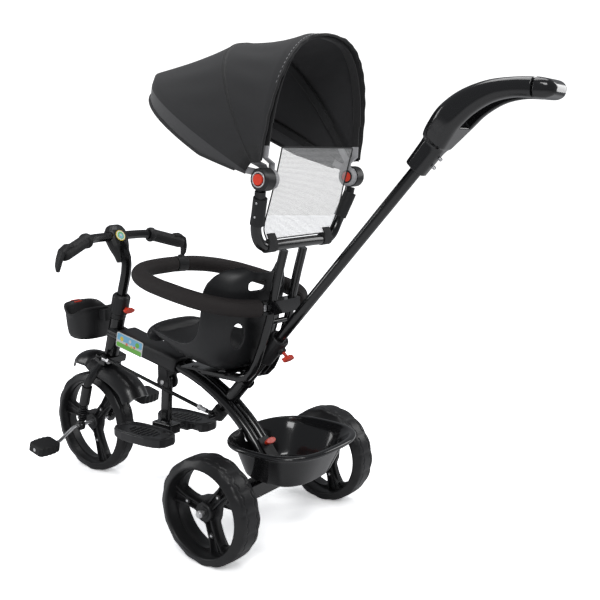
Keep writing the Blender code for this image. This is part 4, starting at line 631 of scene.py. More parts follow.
# %% [markdown]
# A strip along each free edge is the sewn binding, and the brim in front is a paler tape. They are faces of
# the same sheet in other finishes, because a strip of its own would have to be kept off the cloth.
# %% Cloth sheets
BOUND_COLUMNS = 2
# The area that a sheet declares is kept just under its width times its length.
LARGEST_SHARE = 0.999


def cloth_piece(name, rows, edge_rows, brim_rows):
    """A grid of cloth with its flat coordinates, its bound edges in other finishes, and a small thickness."""
    count, columns = len(rows), len(rows[0])
    data = mesh_of(name, [p for row in rows for p in row], grid_faces(count, columns))
    for look in (cloth, binding, brim_cloth):
        data.materials.append(look)
    for face in data.polygons:
        i, j = divmod(face.index, columns - 1)
        if j < BOUND_COLUMNS or j > columns - 2 - BOUND_COLUMNS or i in edge_rows:
            face.material_index = 1
        if i in brim_rows:
            face.material_index = 2
    flat = data.uv_layers.new(name="UVMap")
    along, across = [0.0], [0.0]
    for before, after in zip(rows, rows[1:]):
        along.append(along[-1] + (after[columns // 2] - before[columns // 2]).length)
    widest = rows[count // 2]
    for before, after in zip(widest, widest[1:]):
        across.append(across[-1] + (after - before).length)
    for loop in data.loops:
        i, j = divmod(loop.vertex_index, columns)
        flat.data[loop.index].uv = (across[j], along[i])
    area = sum(face.area for face in data.polygons)
    return thicken(link(name, data), CLOTH_THICK), (across[-1], along[-1]), area


print("cloth", CLOTH_THICK * 1000, "mm thick in", CLOTH_COLUMNS, "columns")

# %% [markdown]
# The cloth is made as two halves that meet at the seam. Neither half rides on a bow: a half that rode on one
# bow would tear away from the other.
# %% Canopy
def fold_between(piece, body_a, body_b, lean_a, lean_b):
    """Bake a cloth half's place into its points."""
    middle = (lean_a + lean_b) / 2
    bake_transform(piece)


def add_cloth(side, rows, edge_rows, brim_rows, bodies, leans):
    piece, flat, area = cloth_piece(f"canopy_cloth_{side}", rows, edge_rows, brim_rows)
    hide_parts(f"canopy_{side}_panel")
    min(area, LARGEST_SHARE * flat[0] * flat[1])
    fold_between(piece, *bodies, *leans)
    print(side, "cloth", [round(v, 3) for v in flat], round(area, 4))


def make_canopy():
    past, hem = math.radians(1.3), math.radians(1.6)
    brim = (FRONT_BOW[0], BRIM_LEAN, FRONT_POWER, BRIM_DROP)
    lip = (FRONT_BOW[0], FRONT_BOW[1] - past, FRONT_POWER, 0.0)
    heel = (FRONT_BOW[0], FRONT_BOW[1] + past, FRONT_POWER, 0.0)
    seam = (*MID_BOW, 0.0)
    rows = cloth_rows([brim, lip, heel, seam], [0.0, 0.0, 0.006], [4, 4, 20])
    add_cloth("front", rows, {27}, {0, 1, 2, 3}, ("mid_bow", "front_bow"), (MID_BOW[1], FRONT_BOW[1]))
    heel = (REAR_BOW[0], REAR_BOW[1] - hem, ARCH_POWER, 0.0)
    edge = (REAR_BOW[0], REAR_EDGE_LEAN, ARCH_POWER, 0.0)
    rows = cloth_rows([seam, heel, edge], [0.007, 0.0], [20, 6])
    add_cloth("rear", rows, {0, 24, 25}, set(), ("frame", "mid_bow"), (REAR_BOW[1], MID_BOW[1]))


make_canopy()

# %% [markdown]
# A foam sleeve is pulled over each arm of the guard ring. It is one round tube with softly rolled ends.
# Its skin has small pores, and it is a little uneven, so the radius swells and shrinks by a hair.
# %% Guard ring foam
FOAM_R = 0.0172
RING_HALF = 0.1380
RING_FRONT = -0.3030
RING_REAR = 0.0180
RING_POWER = 2.75
RING_Z = (0.470, 0.523)
CLIP_X = 0.045
CLIP_HALF = 0.013
FOAM_START_X = 0.0587
FOAM_STEPS = 120
FOAM_SIDES = 28
END_ROLL = 0.005


def ring_point(turn):
    power = 2 / RING_POWER
    half = (RING_REAR - RING_FRONT) / 2
    y = (RING_REAR + RING_FRONT) / 2 + half * squared(math.cos(turn), power)
    share = (RING_REAR - y) / (RING_REAR - RING_FRONT)
    z = RING_Z[0] + (RING_Z[1] - RING_Z[0]) * share
    return Vector((RING_HALF * squared(math.sin(turn), power), y, z)) + SHIFT


def ring_turn(x):
    return math.asin((x / RING_HALF) ** (RING_POWER / 2))


def foam_size(i, length):
    """The sleeve's relative radius at one step: rolled in at both ends, a little uneven between them."""
    near = min(i, FOAM_STEPS - i) * length / FOAM_STEPS
    roll = 1.0
    if near <= END_ROLL:
        roll = math.sqrt(max(0.0, 1 - ((END_ROLL - near) / 0.0055) ** 2)) * 0.28 + 0.72
    return roll * (1 + 0.006 * math.sin(i * 0.41) + 0.004 * math.sin(i * 0.17 + 1))


def make_foam(side, sign):
    start = ring_turn(FOAM_START_X)
    stop = math.pi + sign * ring_turn(CLIP_X - sign * (CLIP_HALF + 0.0004))
    way = [ring_point(start + (stop - start) * i / 240) for i in range(241)]
    path = spaced([Vector((p.x * sign, p.y, p.z)) for p in way], FOAM_STEPS)
    length = path_length(path)
    name = f"guard_sleeve_{side}"
    foam = link(name, sweep(name, path, round_section(FOAM_R, FOAM_SIDES)), foam_look, f"guard_{side}")
    for k, point in enumerate(path):
        for vertex in foam.data.vertices[k * FOAM_SIDES:(k + 1) * FOAM_SIDES]:
            vertex.co = point + (vertex.co - point) * foam_size(k, length)
    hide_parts(f"guard_foam_{side}")
    return length


for side, sign in (("left", 1), ("right", -1)):
    print("foam sleeve", side, round(make_foam(side, sign), 3), "m long")

# %% [markdown]
# Behind the seat the hoop is closed by a fine net. Real net is hexagonal thread, far too fine to model hole
# by hole, so the sheet is thin geometry and a pattern of round holes lets the light through it.
# %% Net look
NET_HOLE = 0.0026
NET_THREAD = 0.42
NET_SLANT = 0.577


def make_net_look():
    """Thread colour with holes between: two crossed rows of round holes make the honeycomb."""
    tree, given, made = new_group("net_holes", {"Pitch": NET_HOLE}, ("Alpha", "Colour", "Roughness"))
    place = add_node(tree, "UVMap").outputs["UV"]
    split = add_node(tree, "SeparateXYZ", {"Vector": place})
    per = add_math(tree, "DIVIDE", 2 * math.pi, given["Pitch"])
    across = (Field(split.outputs["X"]) * per).maths("COSINE")
    along = (Field(split.outputs["Y"]) * (per * NET_SLANT)).maths("COSINE")
    broad = noise_field(tree, place, 30.0)
    shade = (broad * 0.3 + 0.85) * 0.70
    tint = add_node(tree, "CombineColor", {"Red": shade, "Green": shade, "Blue": shade})
    feed(made, {"Alpha": (across * along).maths("ABSOLUTE").maths("LESS_THAN", NET_THREAD),
                "Colour": tint.outputs["Color"], "Roughness": broad * 0.1 + 0.7})
    look = bpy.data.materials.new("net_thread")
    look.use_nodes = True
    group = add_node(look.node_tree, "Group", node_tree=tree).outputs
    feed(look.node_tree.nodes["Principled BSDF"],
         {"Sheen Weight": 0.3, "Base Color": group["Colour"], "Roughness": group["Roughness"],
          "Alpha": group["Alpha"]})
    return look


net_look = make_net_look()
print("net look:", net_look.name)

# %% [markdown]
# The sheet follows the hoop's legs and then the rear bow. Its edge is a thin dark cord that runs all the way
# round. It is stretched, so it needs no folds, and it stays a little narrower than the gap between the hubs.
# %% Rear net
# Each row is its height, its place along Y and half its width.
NET_ROWS = [(0.6095, 0.0605, 0.0980), (0.6320, 0.0650, 0.1115), (0.6700, 0.0780, 0.1140),
            (0.7000, 0.0865, 0.1125), (0.7480, 0.1000, 0.1120), (0.7760, 0.1080, 0.1130)]
NET_COLUMNS = 32
NET_BACK = Vector((0, 0.001, 0))


def make_net():
    keys = [Vector((half, y, z)) for z, y, half in NET_ROWS]
    rows = []
    for key in curve_through(keys, 6):
        rows.append([Vector((key.x * (-1 + 2 * j / NET_COLUMNS), key.y, key.z)) + SHIFT + NET_BACK
                     for j in range(NET_COLUMNS + 1)])
    data = mesh_of("rear_net_sheet", [p for row in rows for p in row], grid_faces(len(rows), NET_COLUMNS + 1))
    flat = data.uv_layers.new(name="UVMap")
    for loop in data.loops:
        point = data.vertices[loop.vertex_index].co
        flat.data[loop.index].uv = (point.x, point.z)
    net = link("rear_net_sheet", data, net_look, "frame")
    length = path_length([row[0] for row in rows])
    left, right = [row[0] for row in rows], [row[-1] for row in rows]
    edge = left + rows[-1][1:] + right[-2::-1] + rows[0][-2:0:-1]
    cord = link("rear_net_edge", sweep("rear_net_edge", spaced(edge, 150)[:-1], round_section(0.0013, 8),
                                       up=(0, 1, 0), closed=True), binding, "frame")
    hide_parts("rear_net")


make_net()

# %% [markdown]
# The heavy moulding work is done by a few helpers: one gives a grid a thickness, one cuts one shape from
# another, and one melts several closed shapes into a single moulding with soft, radiused edges.
# %% Moulding helpers
WELD = 0.00001


def write_back(work, data):
    work.to_mesh(data)
    work.free()
    return data


def thick_grid(name, rows, thickness):
    data = mesh_of(name, [p for row in rows for p in row], grid_faces(len(rows), len(rows[0])))
    return thicken(link(name, data), thickness)


def outward(data):
    """Turn every face of a closed mesh to the outside."""
    work = bmesh.new()
    work.from_mesh(data)
    bmesh.ops.recalc_face_normals(work, faces=work.faces)
    return write_back(work, data)


def carve(piece, data, operation="DIFFERENCE"):
    """Take a closed mesh out of a piece, or add it, and drop the helper."""
    helper = link("helper", outward(data))
    outward(piece.data)
    step = piece.modifiers.new("carve", "BOOLEAN")
    step.operation = operation
    step.object = helper
    step.solver = "EXACT"
    apply_modifiers(piece)
    bpy.data.objects.remove(helper, do_unlink=True)
    return piece


def melt(piece, grain, rounds=4):
    """Fuse a piece's overlapping shells into one skin of even faces and relax it."""
    skin = piece.modifiers.new("skin", "REMESH")
    skin.mode = "VOXEL"
    skin.voxel_size = grain
    relax = piece.modifiers.new("relax", "SMOOTH")
    relax.factor = 0.5
    relax.iterations = rounds
    apply_modifiers(piece)
    piece.data.shade_smooth()
    return piece


def merged(name, shapes):
    """Several meshes as one."""
    work = bmesh.new()
    for shape in shapes:
        work.from_mesh(shape)
    bmesh.ops.recalc_face_normals(work, faces=work.faces)
    return write_back(work, bpy.data.meshes.new(name))


def moved(data, matrix):
    data.transform(matrix)
    return data


def rod_mesh(radius, low, high, steps=24, edge=0.0004):
    """A short rod about Z with its ends eased over."""
    profile = [(radius - edge, low), (radius, low + edge), (radius, high - edge), (radius - edge, high)]
    return loft("rod", [[(u, v, z) for u, v in round_section(r, steps)] for r, z in profile], smooth=50.0)


def sideways(sign):
    """Turn a rod about Z to lie along X, towards the left or the right."""
    return Matrix.Rotation(math.pi / 2 * sign, 4, "Y")


def finish_piece(piece, look, body, slot, *replaced, smooth=40.0):
    piece.data.materials.clear()
    piece.data.materials.append(look)
    piece.data.shade_smooth()
    piece.data.set_sharp_from_angle(angle=math.radians(smooth))
    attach(piece, body)
    if replaced:
        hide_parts(*replaced)
    return piece


def add_piece(name, shapes, look, body, slot, *replaced, smooth=40.0):
    """A finished piece from one mesh, or from a list of meshes as one."""
    data = merged(name, shapes) if isinstance(shapes, list) else shapes
    return finish_piece(link(name, data), look, body, slot, *replaced, smooth=smooth)


print("a short rod has", len(rod_mesh(0.004, 0, 0.01).polygons), "faces")

# %% [markdown]
# The wheels are one moulding each. The tyre is hollow, with sixteen flats and zigzag grooves, so its profile
# is worked out afresh at every step round the axle.
# %% Tyre
TYRE_FLATS = 16
TYRE_STEPS = 288
TREAD_STEPS = 40
TYRE_DEPTH = 0.0185
FLAT_DIP = 0.0011
TREAD_CROWN = 0.0016
GROOVE_DEPTH = 0.0010


def zigzag(turn, count):
    share = (turn * count / (2 * math.pi)) % 1.0
    return 4 * abs(share - 0.5) - 1


def tyre_mesh(radius, width):
    """The hollow tyre about X, from its inner barrel over the lips to the grooved tread."""
    half, lip = width / 2, radius - TYRE_DEPTH
    side = [(lip - 0.0045, half * 0.10), (lip - 0.0040, half * 0.50), (lip - 0.0022, half * 0.86),
            (lip - 0.0012, half * 0.955), (lip + 0.0002, half * 0.99), (lip + 0.0022, half * 0.985),
            (lip + 0.0040, half * 0.955), (radius - 0.0060, half * 0.83)]
    rings = []
    for i in range(TYRE_STEPS):
        turn = 2 * math.pi * i / TYRE_STEPS
        flat = abs(math.cos(turn * TYRE_FLATS / 2))
        dip = FLAT_DIP * (1 - flat) ** 1.5
        edge = half * 0.72 + 0.030 * half * zigzag(turn, TYRE_FLATS)
        line = half * (0.42 + 0.075 * zigzag(turn, 2 * TYRE_FLATS))
        profile = [(r, -x) for r, x in side]
        for k in range(TREAD_STEPS + 1):
            u = -1 + 2 * k / TREAD_STEPS
            x = u * edge
            in_groove = abs(abs(x) - line) < half * 0.040 and flat > 0.25
            groove = GROOVE_DEPTH if in_groove else 0.0
            profile.append((radius - dip - TREAD_CROWN * abs(u) ** 4 - groove, x))
        profile += [(r, x) for r, x in reversed(side)]
        rings.append([(x, r * math.cos(turn), r * math.sin(turn)) for r, x in profile])
    return loft("tyre", rings, closed=True, smooth=42.0)


print("a tyre has", len(tyre_mesh(0.105, 0.062).polygons), "faces")

# %% [markdown]
# Inside the tyre is a thin web with three windows, which leave three spokes between them.
# Each spoke carries two ribs, a spine and a screw's seat, and the boss in the middle has a raised collar.
# %% Web
SPOKES = 3
SPOKE_TURN = math.radians(138)
SCREW_REACH = 0.047


def web_plate(outer, half):
    """The plate with its windows, each drawn out along the rim and back along the boss."""
    piece = link("web", rod_mesh(outer, -half * 0.16, half * 0.16, 120))
    for k in range(SPOKES):
        middle = SPOKE_TURN + math.pi / SPOKES + 2 * math.pi * k / SPOKES
        ring = []
        for reach, shares, web in ((outer - 0.0035, [-1 + i / 12 for i in range(25)], 0.0150),
                                   (0.0290, [1 - i / 6 for i in range(13)], 0.0115)):
            for share in shares:
                spread = math.pi / SPOKES - math.asin(web / reach)
                if reach > 0.05:
                    soft = reach - 0.010 * abs(share) ** 5
                else:
                    soft = reach + 0.006 * abs(share) ** 4
                turn = middle + spread * share
                ring.append((soft * math.cos(turn), soft * math.sin(turn)))
        carve(piece, prism("window", ring, (-0.05, 0.05)))
    plate = piece.data
    bpy.data.objects.remove(piece, do_unlink=True)
    return plate


def web_mesh(radius, width):
    half = width / 2
    outer = radius - TYRE_DEPTH - 0.003
    shapes = [web_plate(outer, half)]
    for k in range(SPOKES):
        turn = SPOKE_TURN + 2 * math.pi * k / SPOKES
        out = Vector((math.cos(turn), math.sin(turn), 0))
        aside = Vector((-out.y, out.x, 0))
        for sign in (1, -1):
            route = [out * reach + aside * apart * sign for reach, apart in
                     ((0.016, 0.0070), (0.034, 0.0078), (0.055, 0.0086), (outer - 0.001, 0.0150))]
            shapes.append(sweep("rib", curve_through(route, 6), rounded_box(half * 0.80, 0.0034, 0.0012, 3)))
        boss = rod_mesh(0.0058, -half * 0.42, half * 0.42, 28, 0.0008)
        shapes.append(moved(boss, Matrix.Translation(out * SCREW_REACH)))
        shapes.append(sweep("spine", [out * 0.02, out * (outer - 0.002)],
                            rounded_box(half * 0.46, 0.0030, 0.001, 3)))
    shapes.append(rod_mesh(0.0190, -half * 0.60, half * 0.60, 56, 0.0012))
    for low, high in ((half * 0.55, half * 0.66), (-half * 0.66, -half * 0.55)):
        shapes.append(rod_mesh(0.0128, low, high, 48, 0.0007))
    return moved(merged("web", shapes), sideways(1))


print("a web has", len(web_mesh(0.105, 0.062).polygons), "faces")

# %% [markdown]
# Each wheel joins its tyre and web, and gets bright screws with a slot on both sides of every spoke.
# %% Wheels
# Each wheel is its body, its radius, its width and its middle.
WHEELS = {
    "wheel_left": ("wheel_left", 0.105, 0.062, Vector((0.1945, 0.0, 0.105))),
    "wheel_right": ("wheel_right", 0.105, 0.062, Vector((-0.1945, 0.0, 0.105))),
    "front_wheel": ("front_wheel_and_crank", 0.1215, 0.046, Vector((0.0, -0.554, 0.1215))),
}


def make_wheel(name):
    body, radius, width, middle = WHEELS[name]
    middle = middle + SHIFT
    data = merged(name, [tyre_mesh(radius, width), web_mesh(radius, width)])
    wheel = add_piece(f"{name}_moulding", moved(data, Matrix.Translation(middle)), wheel_black, body,
                      "moulded_tyre", name, smooth=42.0)
    top = width / 2 * 0.42
    screws = []
    for k in range(SPOKES):
        turn = SPOKE_TURN + 2 * math.pi * k / SPOKES
        spot = Vector((0, SCREW_REACH * math.sin(turn), -SCREW_REACH * math.cos(turn)))
        for sign in (1, -1):
            head = rod_mesh(0.0026, top, top + 0.0014, 20, 0.0006)
            slot = prism("slot", rounded_box(0.003, 0.0006, 0.0002, 1), (top + 0.0013, top + 0.0016))
            for part in (head, slot):
                screws.append(moved(moved(part, sideways(sign)), Matrix.Translation(middle + spot)))
    add_piece(f"{name}_screws", screws, steel, body, "bright_steel")
    return len(wheel.data.polygons)


for name in WHEELS:
    print(name, make_wheel(name), "faces")

# %% [markdown]
# The seat is a thin shell drawn through thirteen stations from its front edge to the top of its back.
# The rolled lip in front is melted into it, and so are the edges of the belt slots and the corner openings.
# %% Seat
SEAT_LOW = 0.3298
SEAT_STATIONS = [
    (-0.277, 0.396, 0.077, -0.268, 0.400), (-0.261, 0.384, 0.083, -0.254, 0.401),
    (-0.236, 0.368, 0.086, -0.228, 0.396), (-0.195, 0.350, 0.090, -0.185, 0.387),
    (-0.150, SEAT_LOW + 0.007, 0.094, -0.148, 0.388), (-0.107, SEAT_LOW, 0.098, -0.122, 0.402),
    (-0.082, SEAT_LOW + 0.001, 0.100, -0.110, 0.424), (-0.060, SEAT_LOW + 0.017, 0.101, -0.104, 0.450),
    (-0.040, SEAT_LOW + 0.058, 0.101, -0.100, 0.480), (-0.028, SEAT_LOW + 0.110, 0.100, -0.092, 0.507),
    (-0.020, SEAT_LOW + 0.152, 0.095, -0.074, 0.528), (-0.013, SEAT_LOW + 0.185, 0.079, -0.056, 0.540),
    (-0.008, SEAT_LOW + 0.205, 0.052, -0.034, 0.5465),
]
SEAT_THICK = 0.006
SEAT_MELT = 0.0021
BELT_SLOT_X = 0.032
LIP_STEPS = 28


def seat_rows(per_span=5, across=44):
    middle = curve_through([Vector((0, y, z)) for y, z, _, _, _ in SEAT_STATIONS], per_span)
    edge = curve_through([Vector((x, y, z)) for _, _, x, y, z in SEAT_STATIONS], per_span)
    rows = []
    for m, e in zip(middle, edge):
        row = []
        for j in range(across + 1):
            v = -1 + 2 * j / across
            bend = abs(v) ** 2.7
            x = e.x * math.sin(v * 1.45) / math.sin(1.45)
            row.append(Vector((x, m.y + (e.y - m.y) * bend, m.z + (e.z - m.z) * bend)) + SHIFT)
        rows.append(row)
    return rows


def lip_rings():
    rings = []
    for i in range(25):
        share = math.sin(math.pi / 2 * (i - 12) / 12)
        size = max(1 - abs(share) ** 3.2, 0.03) ** 0.5
        back = 0.010 * share * share
        rings.append([Vector((0.087 * share, -0.280 + back - 0.018 * size * s,
                              0.386 + 0.022 * size * c)) + SHIFT for c, s in around(LIP_STEPS)])
    return rings


def make_seat():
    seat = thick_grid("seat_shell", seat_rows(), SEAT_THICK)
    for sign in (1, -1):
        slot = [Vector((sign * BELT_SLOT_X, y, z)) + SHIFT for y, z in ((0.1, 0.500), (-0.15, 0.520))]
        carve(seat, sweep("slot", slot, rounded_box(0.042, 0.018, 0.006), up=(1, 0, 0)))
        hole = [Vector((sign * 0.040, -0.075, 0.408)) + SHIFT, Vector((sign * 0.120, 0.045, 0.412)) + SHIFT]
        oval = [(0.013 * c, 0.026 * s) for c, s in around(32)]
        carve(seat, sweep("side_hole", hole, oval, up=(0.8 * sign, -0.5, 0)))
    carve(seat, loft("lip", lip_rings()), "UNION")
    melt(seat, SEAT_MELT, 5)
    finish_piece(seat, satin, "frame", "satin_plastic", "seat", smooth=70.0)
    return len(seat.data.polygons)


print("seat:", make_seat(), "faces")

# %% [markdown]
# The push handle is a thick blade that opens into a loop. Its outer end is closed by a cap with a fine joint,
# and two bright screws hold its socket on the tube.
# %% Push handle
HANDLE_STATIONS = [
    (0.3120, 0.7400, 0.041, 0.034), (0.3440, 0.7780, 0.044, 0.036), (0.3510, 0.7870, 0.049, 0.050),
    (0.3640, 0.8030, 0.051, 0.064), (0.3850, 0.8250, 0.050, 0.080), (0.4140, 0.8465, 0.045, 0.080),
    (0.4520, 0.8620, 0.037, 0.080), (0.4900, 0.8670, 0.032, 0.080), (0.5250, 0.8655, 0.032, 0.080),
    (0.5440, 0.8630, 0.030, 0.0736), (0.5520, 0.8618, 0.024, 0.066), (0.5570, 0.8611, 0.016, 0.054),
    (0.5590, 0.8608, 0.008, 0.040),
]
HANDLE_HOLE = [(0.386, 0.8260), (0.414, 0.8465), (0.452, 0.8620), (0.490, 0.8670), (0.514, 0.8665)]
HANDLE_JOINT = (0.5268, 0.5274)
HANDLE_SCREWS = ((0.3300, 0.7560), (0.3415, 0.7700))
SOCKET_WAY = (0.0320, 0.0380)


def handle_part(name, first, last, swell):
    """The blade between two places along its length, measured by Y."""
    path = curve_through([Vector((0, y, z)) for y, z, _, _ in HANDLE_STATIONS])
    sizes = curve_through([Vector((h, w, 0)) for _, _, h, w in HANDLE_STATIONS])
    kept = [(p, s) for p, s in zip(path, sizes) if first <= p.y <= last]
    rings = []
    for i, (point, size) in enumerate(kept):
        ahead = (kept[min(i + 1, len(kept) - 1)][0] - kept[max(i - 1, 0)][0]).normalized()
        normal = ahead.cross(Vector((1, 0, 0)))
        section = rounded_box(size.y * swell, size.x * swell, min(0.0145, size.x * 0.42))
        rings.append([point + SHIFT + Vector((u, 0, 0)) + normal * v for u, v in section])
    return link(name, loft(name, rings))


def make_handle():
    hole = sweep("hole", curve_through([Vector((0, y, z)) + SHIFT for y, z in HANDLE_HOLE]),
                 rounded_box(0.040, 0.090, 0.012), up=(1, 0, 0))
    blade = handle_part("handle_blade", 0.0, HANDLE_JOINT[0], 1.0)
    carve(blade, hole)
    melt(blade, 0.0014, 5)
    finish_piece(blade, gloss, "push_bar", "gloss_plastic", "push_handle", smooth=60.0)
    cap = handle_part("handle_cap", HANDLE_JOINT[1], 1.0, 1.02)
    melt(cap, 0.0012, 3)
    finish_piece(cap, gloss, "push_bar", "gloss_plastic", smooth=60.0)
    along = Vector((0, *SOCKET_WAY)).normalized()
    turn = Vector((0, 0, 1)).rotation_difference(Vector((0, along.z, -along.y))).to_matrix().to_4x4()
    screws = []
    for y, z in HANDLE_SCREWS:
        head = rod_mesh(0.0032, 0.0195, 0.0250, 20, 0.0008)
        screws.append(moved(head, Matrix.Translation(Vector((0.0, y, z)) + SHIFT) @ turn))
    add_piece("handle_screws", screws, steel, "push_bar", "bright_steel")
    return len(blade.data.polygons)


print("handle:", make_handle(), "faces")

# %% [markdown]
# The basket behind the seat is glossy and thin, with a rolled rim that catches long highlights.
# A red knob fixes its tongue to the tubes, in a relief that is cut out of the front wall.
# %% Basket
# Each point of the wall's section is how far it lies inside the rim, and its height.
BASKET_PROFILE = [(0.056, 0.1265), (0.050, 0.1300), (0.046, 0.1363), (0.033, 0.1640), (0.0200, 0.1917),
                  (0.0152, 0.1965), (0.0100, 0.1975), (0.0030, 0.1978), (0.0000, 0.2010), (0.0004, 0.2052),
                  (0.0050, 0.2078), (0.0105, 0.2070), (0.0140, 0.2030), (0.0230, 0.1917), (0.0362, 0.1640),
                  (0.0492, 0.1363), (0.0540, 0.1312), (0.0590, 0.1295)]
BASKET_STEPS = 120
RELIEF_LINE = [(-0.109, 0.2410), (-0.085, 0.2220), (-0.058, 0.197), (-0.038, 0.1760), (-0.022, 0.1525),
               (0.0, 0.106)]
TONGUE_LEAN = math.radians(-51)
TONGUE_PLACE = Vector((0, -0.0201, 0.1747))


def basket_ring(inset, z):
    out = []
    for c, s in around(BASKET_STEPS):
        power, steep = (0.80, 0.42) if s < 0 else (0.72, 1.0)
        out.append(Vector(((0.129 - inset) * squared(c, power),
                           0.045 + (0.113 - inset * steep) * squared(s, power), z)) + SHIFT)
    return out


def make_basket():
    profile = curve_through([Vector((inset, z, 0)) for inset, z in BASKET_PROFILE], 3)
    basket = link("basket_moulding", loft("basket", [basket_ring(p.x, p.y) for p in profile]))
    route = curve_through([Vector((0, y, z)) + SHIFT for y, z in RELIEF_LINE], 4)
    carve(basket, sweep("relief", route, rounded_box(0.054, 0.027, 0.0133), up=(1, 0, 0)))
    place = Matrix.Translation(TONGUE_PLACE + SHIFT) @ Matrix.Rotation(TONGUE_LEAN, 4, "X")
    tongue = [(u, v + 0.022) for u, v in rounded_box(0.030, 0.076, 0.004)]
    tab = link("basket_tab", moved(prism("tab", tongue, (-0.0015, 0.0015)), place))
    carve(tab, moved(rod_mesh(0.0040, -0.01, 0.01, 24), place))
    finish_piece(tab, soft_black, "frame", "gloss_plastic")
    finish_piece(basket, gloss, "frame", "gloss_plastic", "basket", smooth=48.0)
    return len(basket.data.polygons)


print("basket:", make_basket(), "faces")

# %% [markdown]
# The small bucket in front hooks on the stem. Its rim is wavy, its wall is scooped where the stem passes,
# and a red tongue hangs over its front.
# %% Bucket
RAKE = math.radians(16.4)
HEAD = Vector((0.0, -0.487, 0.300)) + SHIFT
STEERING = Matrix.Translation(HEAD) @ Matrix.Rotation(-RAKE, 4, "X")
BUCKET_STEPS = 96
BUCKET_HALF_X = 0.058
BUCKET_Y = (-0.118, -0.024)
# Each row is how far it shrinks and its height. A height under this limit is measured down from the wavy rim.
RIM_LIMIT = 0.1
BUCKET_ROWS = [(0.0215, 0.331), (0.0150, 0.3318), (0.0090, 0.336), (0.0052, 0.345), (0.0030, 0.360),
               (0.0002, 0.012), (-0.0012, 0.0062), (-0.0022, 0.0052), (-0.0026, 0.0030), (-0.0022, 0.0008),
               (-0.0006, 0.0), (0.0014, 0.0004), (0.0025, 0.0020), (0.0035, 0.010), (0.0058, 0.360),
               (0.0080, 0.346), (0.0120, 0.3388), (0.0180, 0.3348), (0.0235, 0.3335)]
TONGUE_LINE = ((-0.1150, 0.4090), (-0.1220, 0.4125), (-0.1290, 0.4112))


def bucket_ring(shrink, height):
    out = []
    for c, s in around(BUCKET_STEPS):
        half = (BUCKET_Y[1] - BUCKET_Y[0]) / 2 - shrink
        y = sum(BUCKET_Y) / 2 + half * squared(s, 0.72)
        x = (BUCKET_HALF_X - shrink) * squared(c, 0.80)
        share = (y - BUCKET_Y[0]) / (BUCKET_Y[1] - BUCKET_Y[0])
        rim = 0.405 + 0.010 * math.cos(share * 2 * math.pi) - 0.004 * share
        out.append(Vector((x, y + HEAD.y, rim - height if height < RIM_LIMIT else height)))
    return out


def make_bucket():
    bucket = link("bucket_moulding", loft("bucket", [bucket_ring(s, h) for s, h in BUCKET_ROWS]))
    hook = [(u, v - 0.0150 + HEAD.y) for u, v in rounded_box(0.028, 0.022, 0.003)]
    carve(bucket, prism("hook", hook, (0.3780, 0.4040)), "UNION")
    carve(bucket, moved(rod_mesh(0.0213, 0.03, 0.19, 64), STEERING))
    finish_piece(bucket, matt, "steering", "black_plastic", "bucket", smooth=48.0)
    route = curve_through([Vector((0, y + HEAD.y, z)) for y, z in TONGUE_LINE], 5)
    tongue = sweep("bucket_tongue", route, rounded_box(0.024, 0.0055, 0.0022), up=(1, 0, 0))
    add_piece("bucket_tongue", tongue, red, "steering", "red_plastic")
    return len(bucket.data.polygons)


print("bucket:", make_bucket(), "faces")

# %% [markdown]
# The mudguard over the front wheel is hung from the fork's crown. Its glossy back is one broad highlight.
# %% Mudguard
GUARD_LINE = [(-0.1080, -0.0720), (-0.1010, -0.0510), (-0.0850, -0.0330), (-0.0640, -0.0215),
              (-0.0440, -0.0170), (-0.0300, -0.0195), (-0.0185, -0.02255), (0.0420, -0.02405),
              (0.0750, -0.0300), (0.1000, -0.0400), (0.1200, -0.0580)]
GUARD_THICK = 0.0025
GUARD_COLUMNS = 28


def make_mudguard():
    line = curve_through([Vector((0, y, z)) for y, z in GUARD_LINE], 5)
    rows = []
    for i, point in enumerate(line):
        ahead = (line[min(i + 1, len(line) - 1)] - line[max(i - 1, 0)]).normalized()
        down = Vector((0, ahead.z, -ahead.y))
        along = i / (len(line) - 1)
        half = 0.036 * (1 - 0.42 * max(0.0, 1 - along / 0.22))
        depth = 0.030 * (1 - 0.5 * max(0.0, 1 - along / 0.30))
        row = []
        for j in range(GUARD_COLUMNS + 1):
            turn = math.pi / 2 * (-1 + j / (GUARD_COLUMNS / 2))
            row.append(point + Vector((half * math.sin(turn), 0, 0)) + down * depth * (1 - math.cos(turn)))
        rows.append(row)
    guard = thick_grid("mudguard", rows, GUARD_THICK)
    guard.data.transform(STEERING)
    # The mudguard takes the lightened finish, whose lighter colour is painted light.
    finish_piece(guard, lightened_hood_look, "steering", "gloss_plastic", "fender", smooth=55.0)
    return len(guard.data.polygons)


print("mudguard:", make_mudguard(), "faces")

# %% [markdown]
# Smaller mouldings keep the construction's shape, and only their hard edges are wrong: a mould leaves
# a radius. Each is copied, fused at a fine grain and relaxed a little, which rounds every edge.
# %% Small mouldings
# Each piece is named with the grain it is fused at and how many rounds it is relaxed.
SOFTENED = {
    "grip_left": (0.0011, 5), "grip_right": (0.0011, 5), "handlebar_cover": (0.0012, 8),
    "pedal_left": (0.0012, 3), "pedal_right": (0.0012, 3), "footpad_left": (0.0014, 3),
    "footpad_right": (0.0014, 3), "stem_knob": (0.0006, 4), "socket_knob": (0.0006, 4),
    "basket_knob": (0.0006, 4), "socket_collar": (0.0011, 3),
    "stem_collar": (0.0011, 3), "guard_clip": (0.0008, 5), "steering_lever": (0.0009, 3),
    "footrest_bracket": (0.0010, 3), "frame_cover": (0.0022, 34), "footrest_post": (0.0011, 3),
}


def welded(data):
    """A mesh opened for editing, with the points that coincide joined."""
    work = bmesh.new()
    work.from_mesh(data)
    bmesh.ops.remove_doubles(work, verts=work.verts, dist=WELD)
    return work


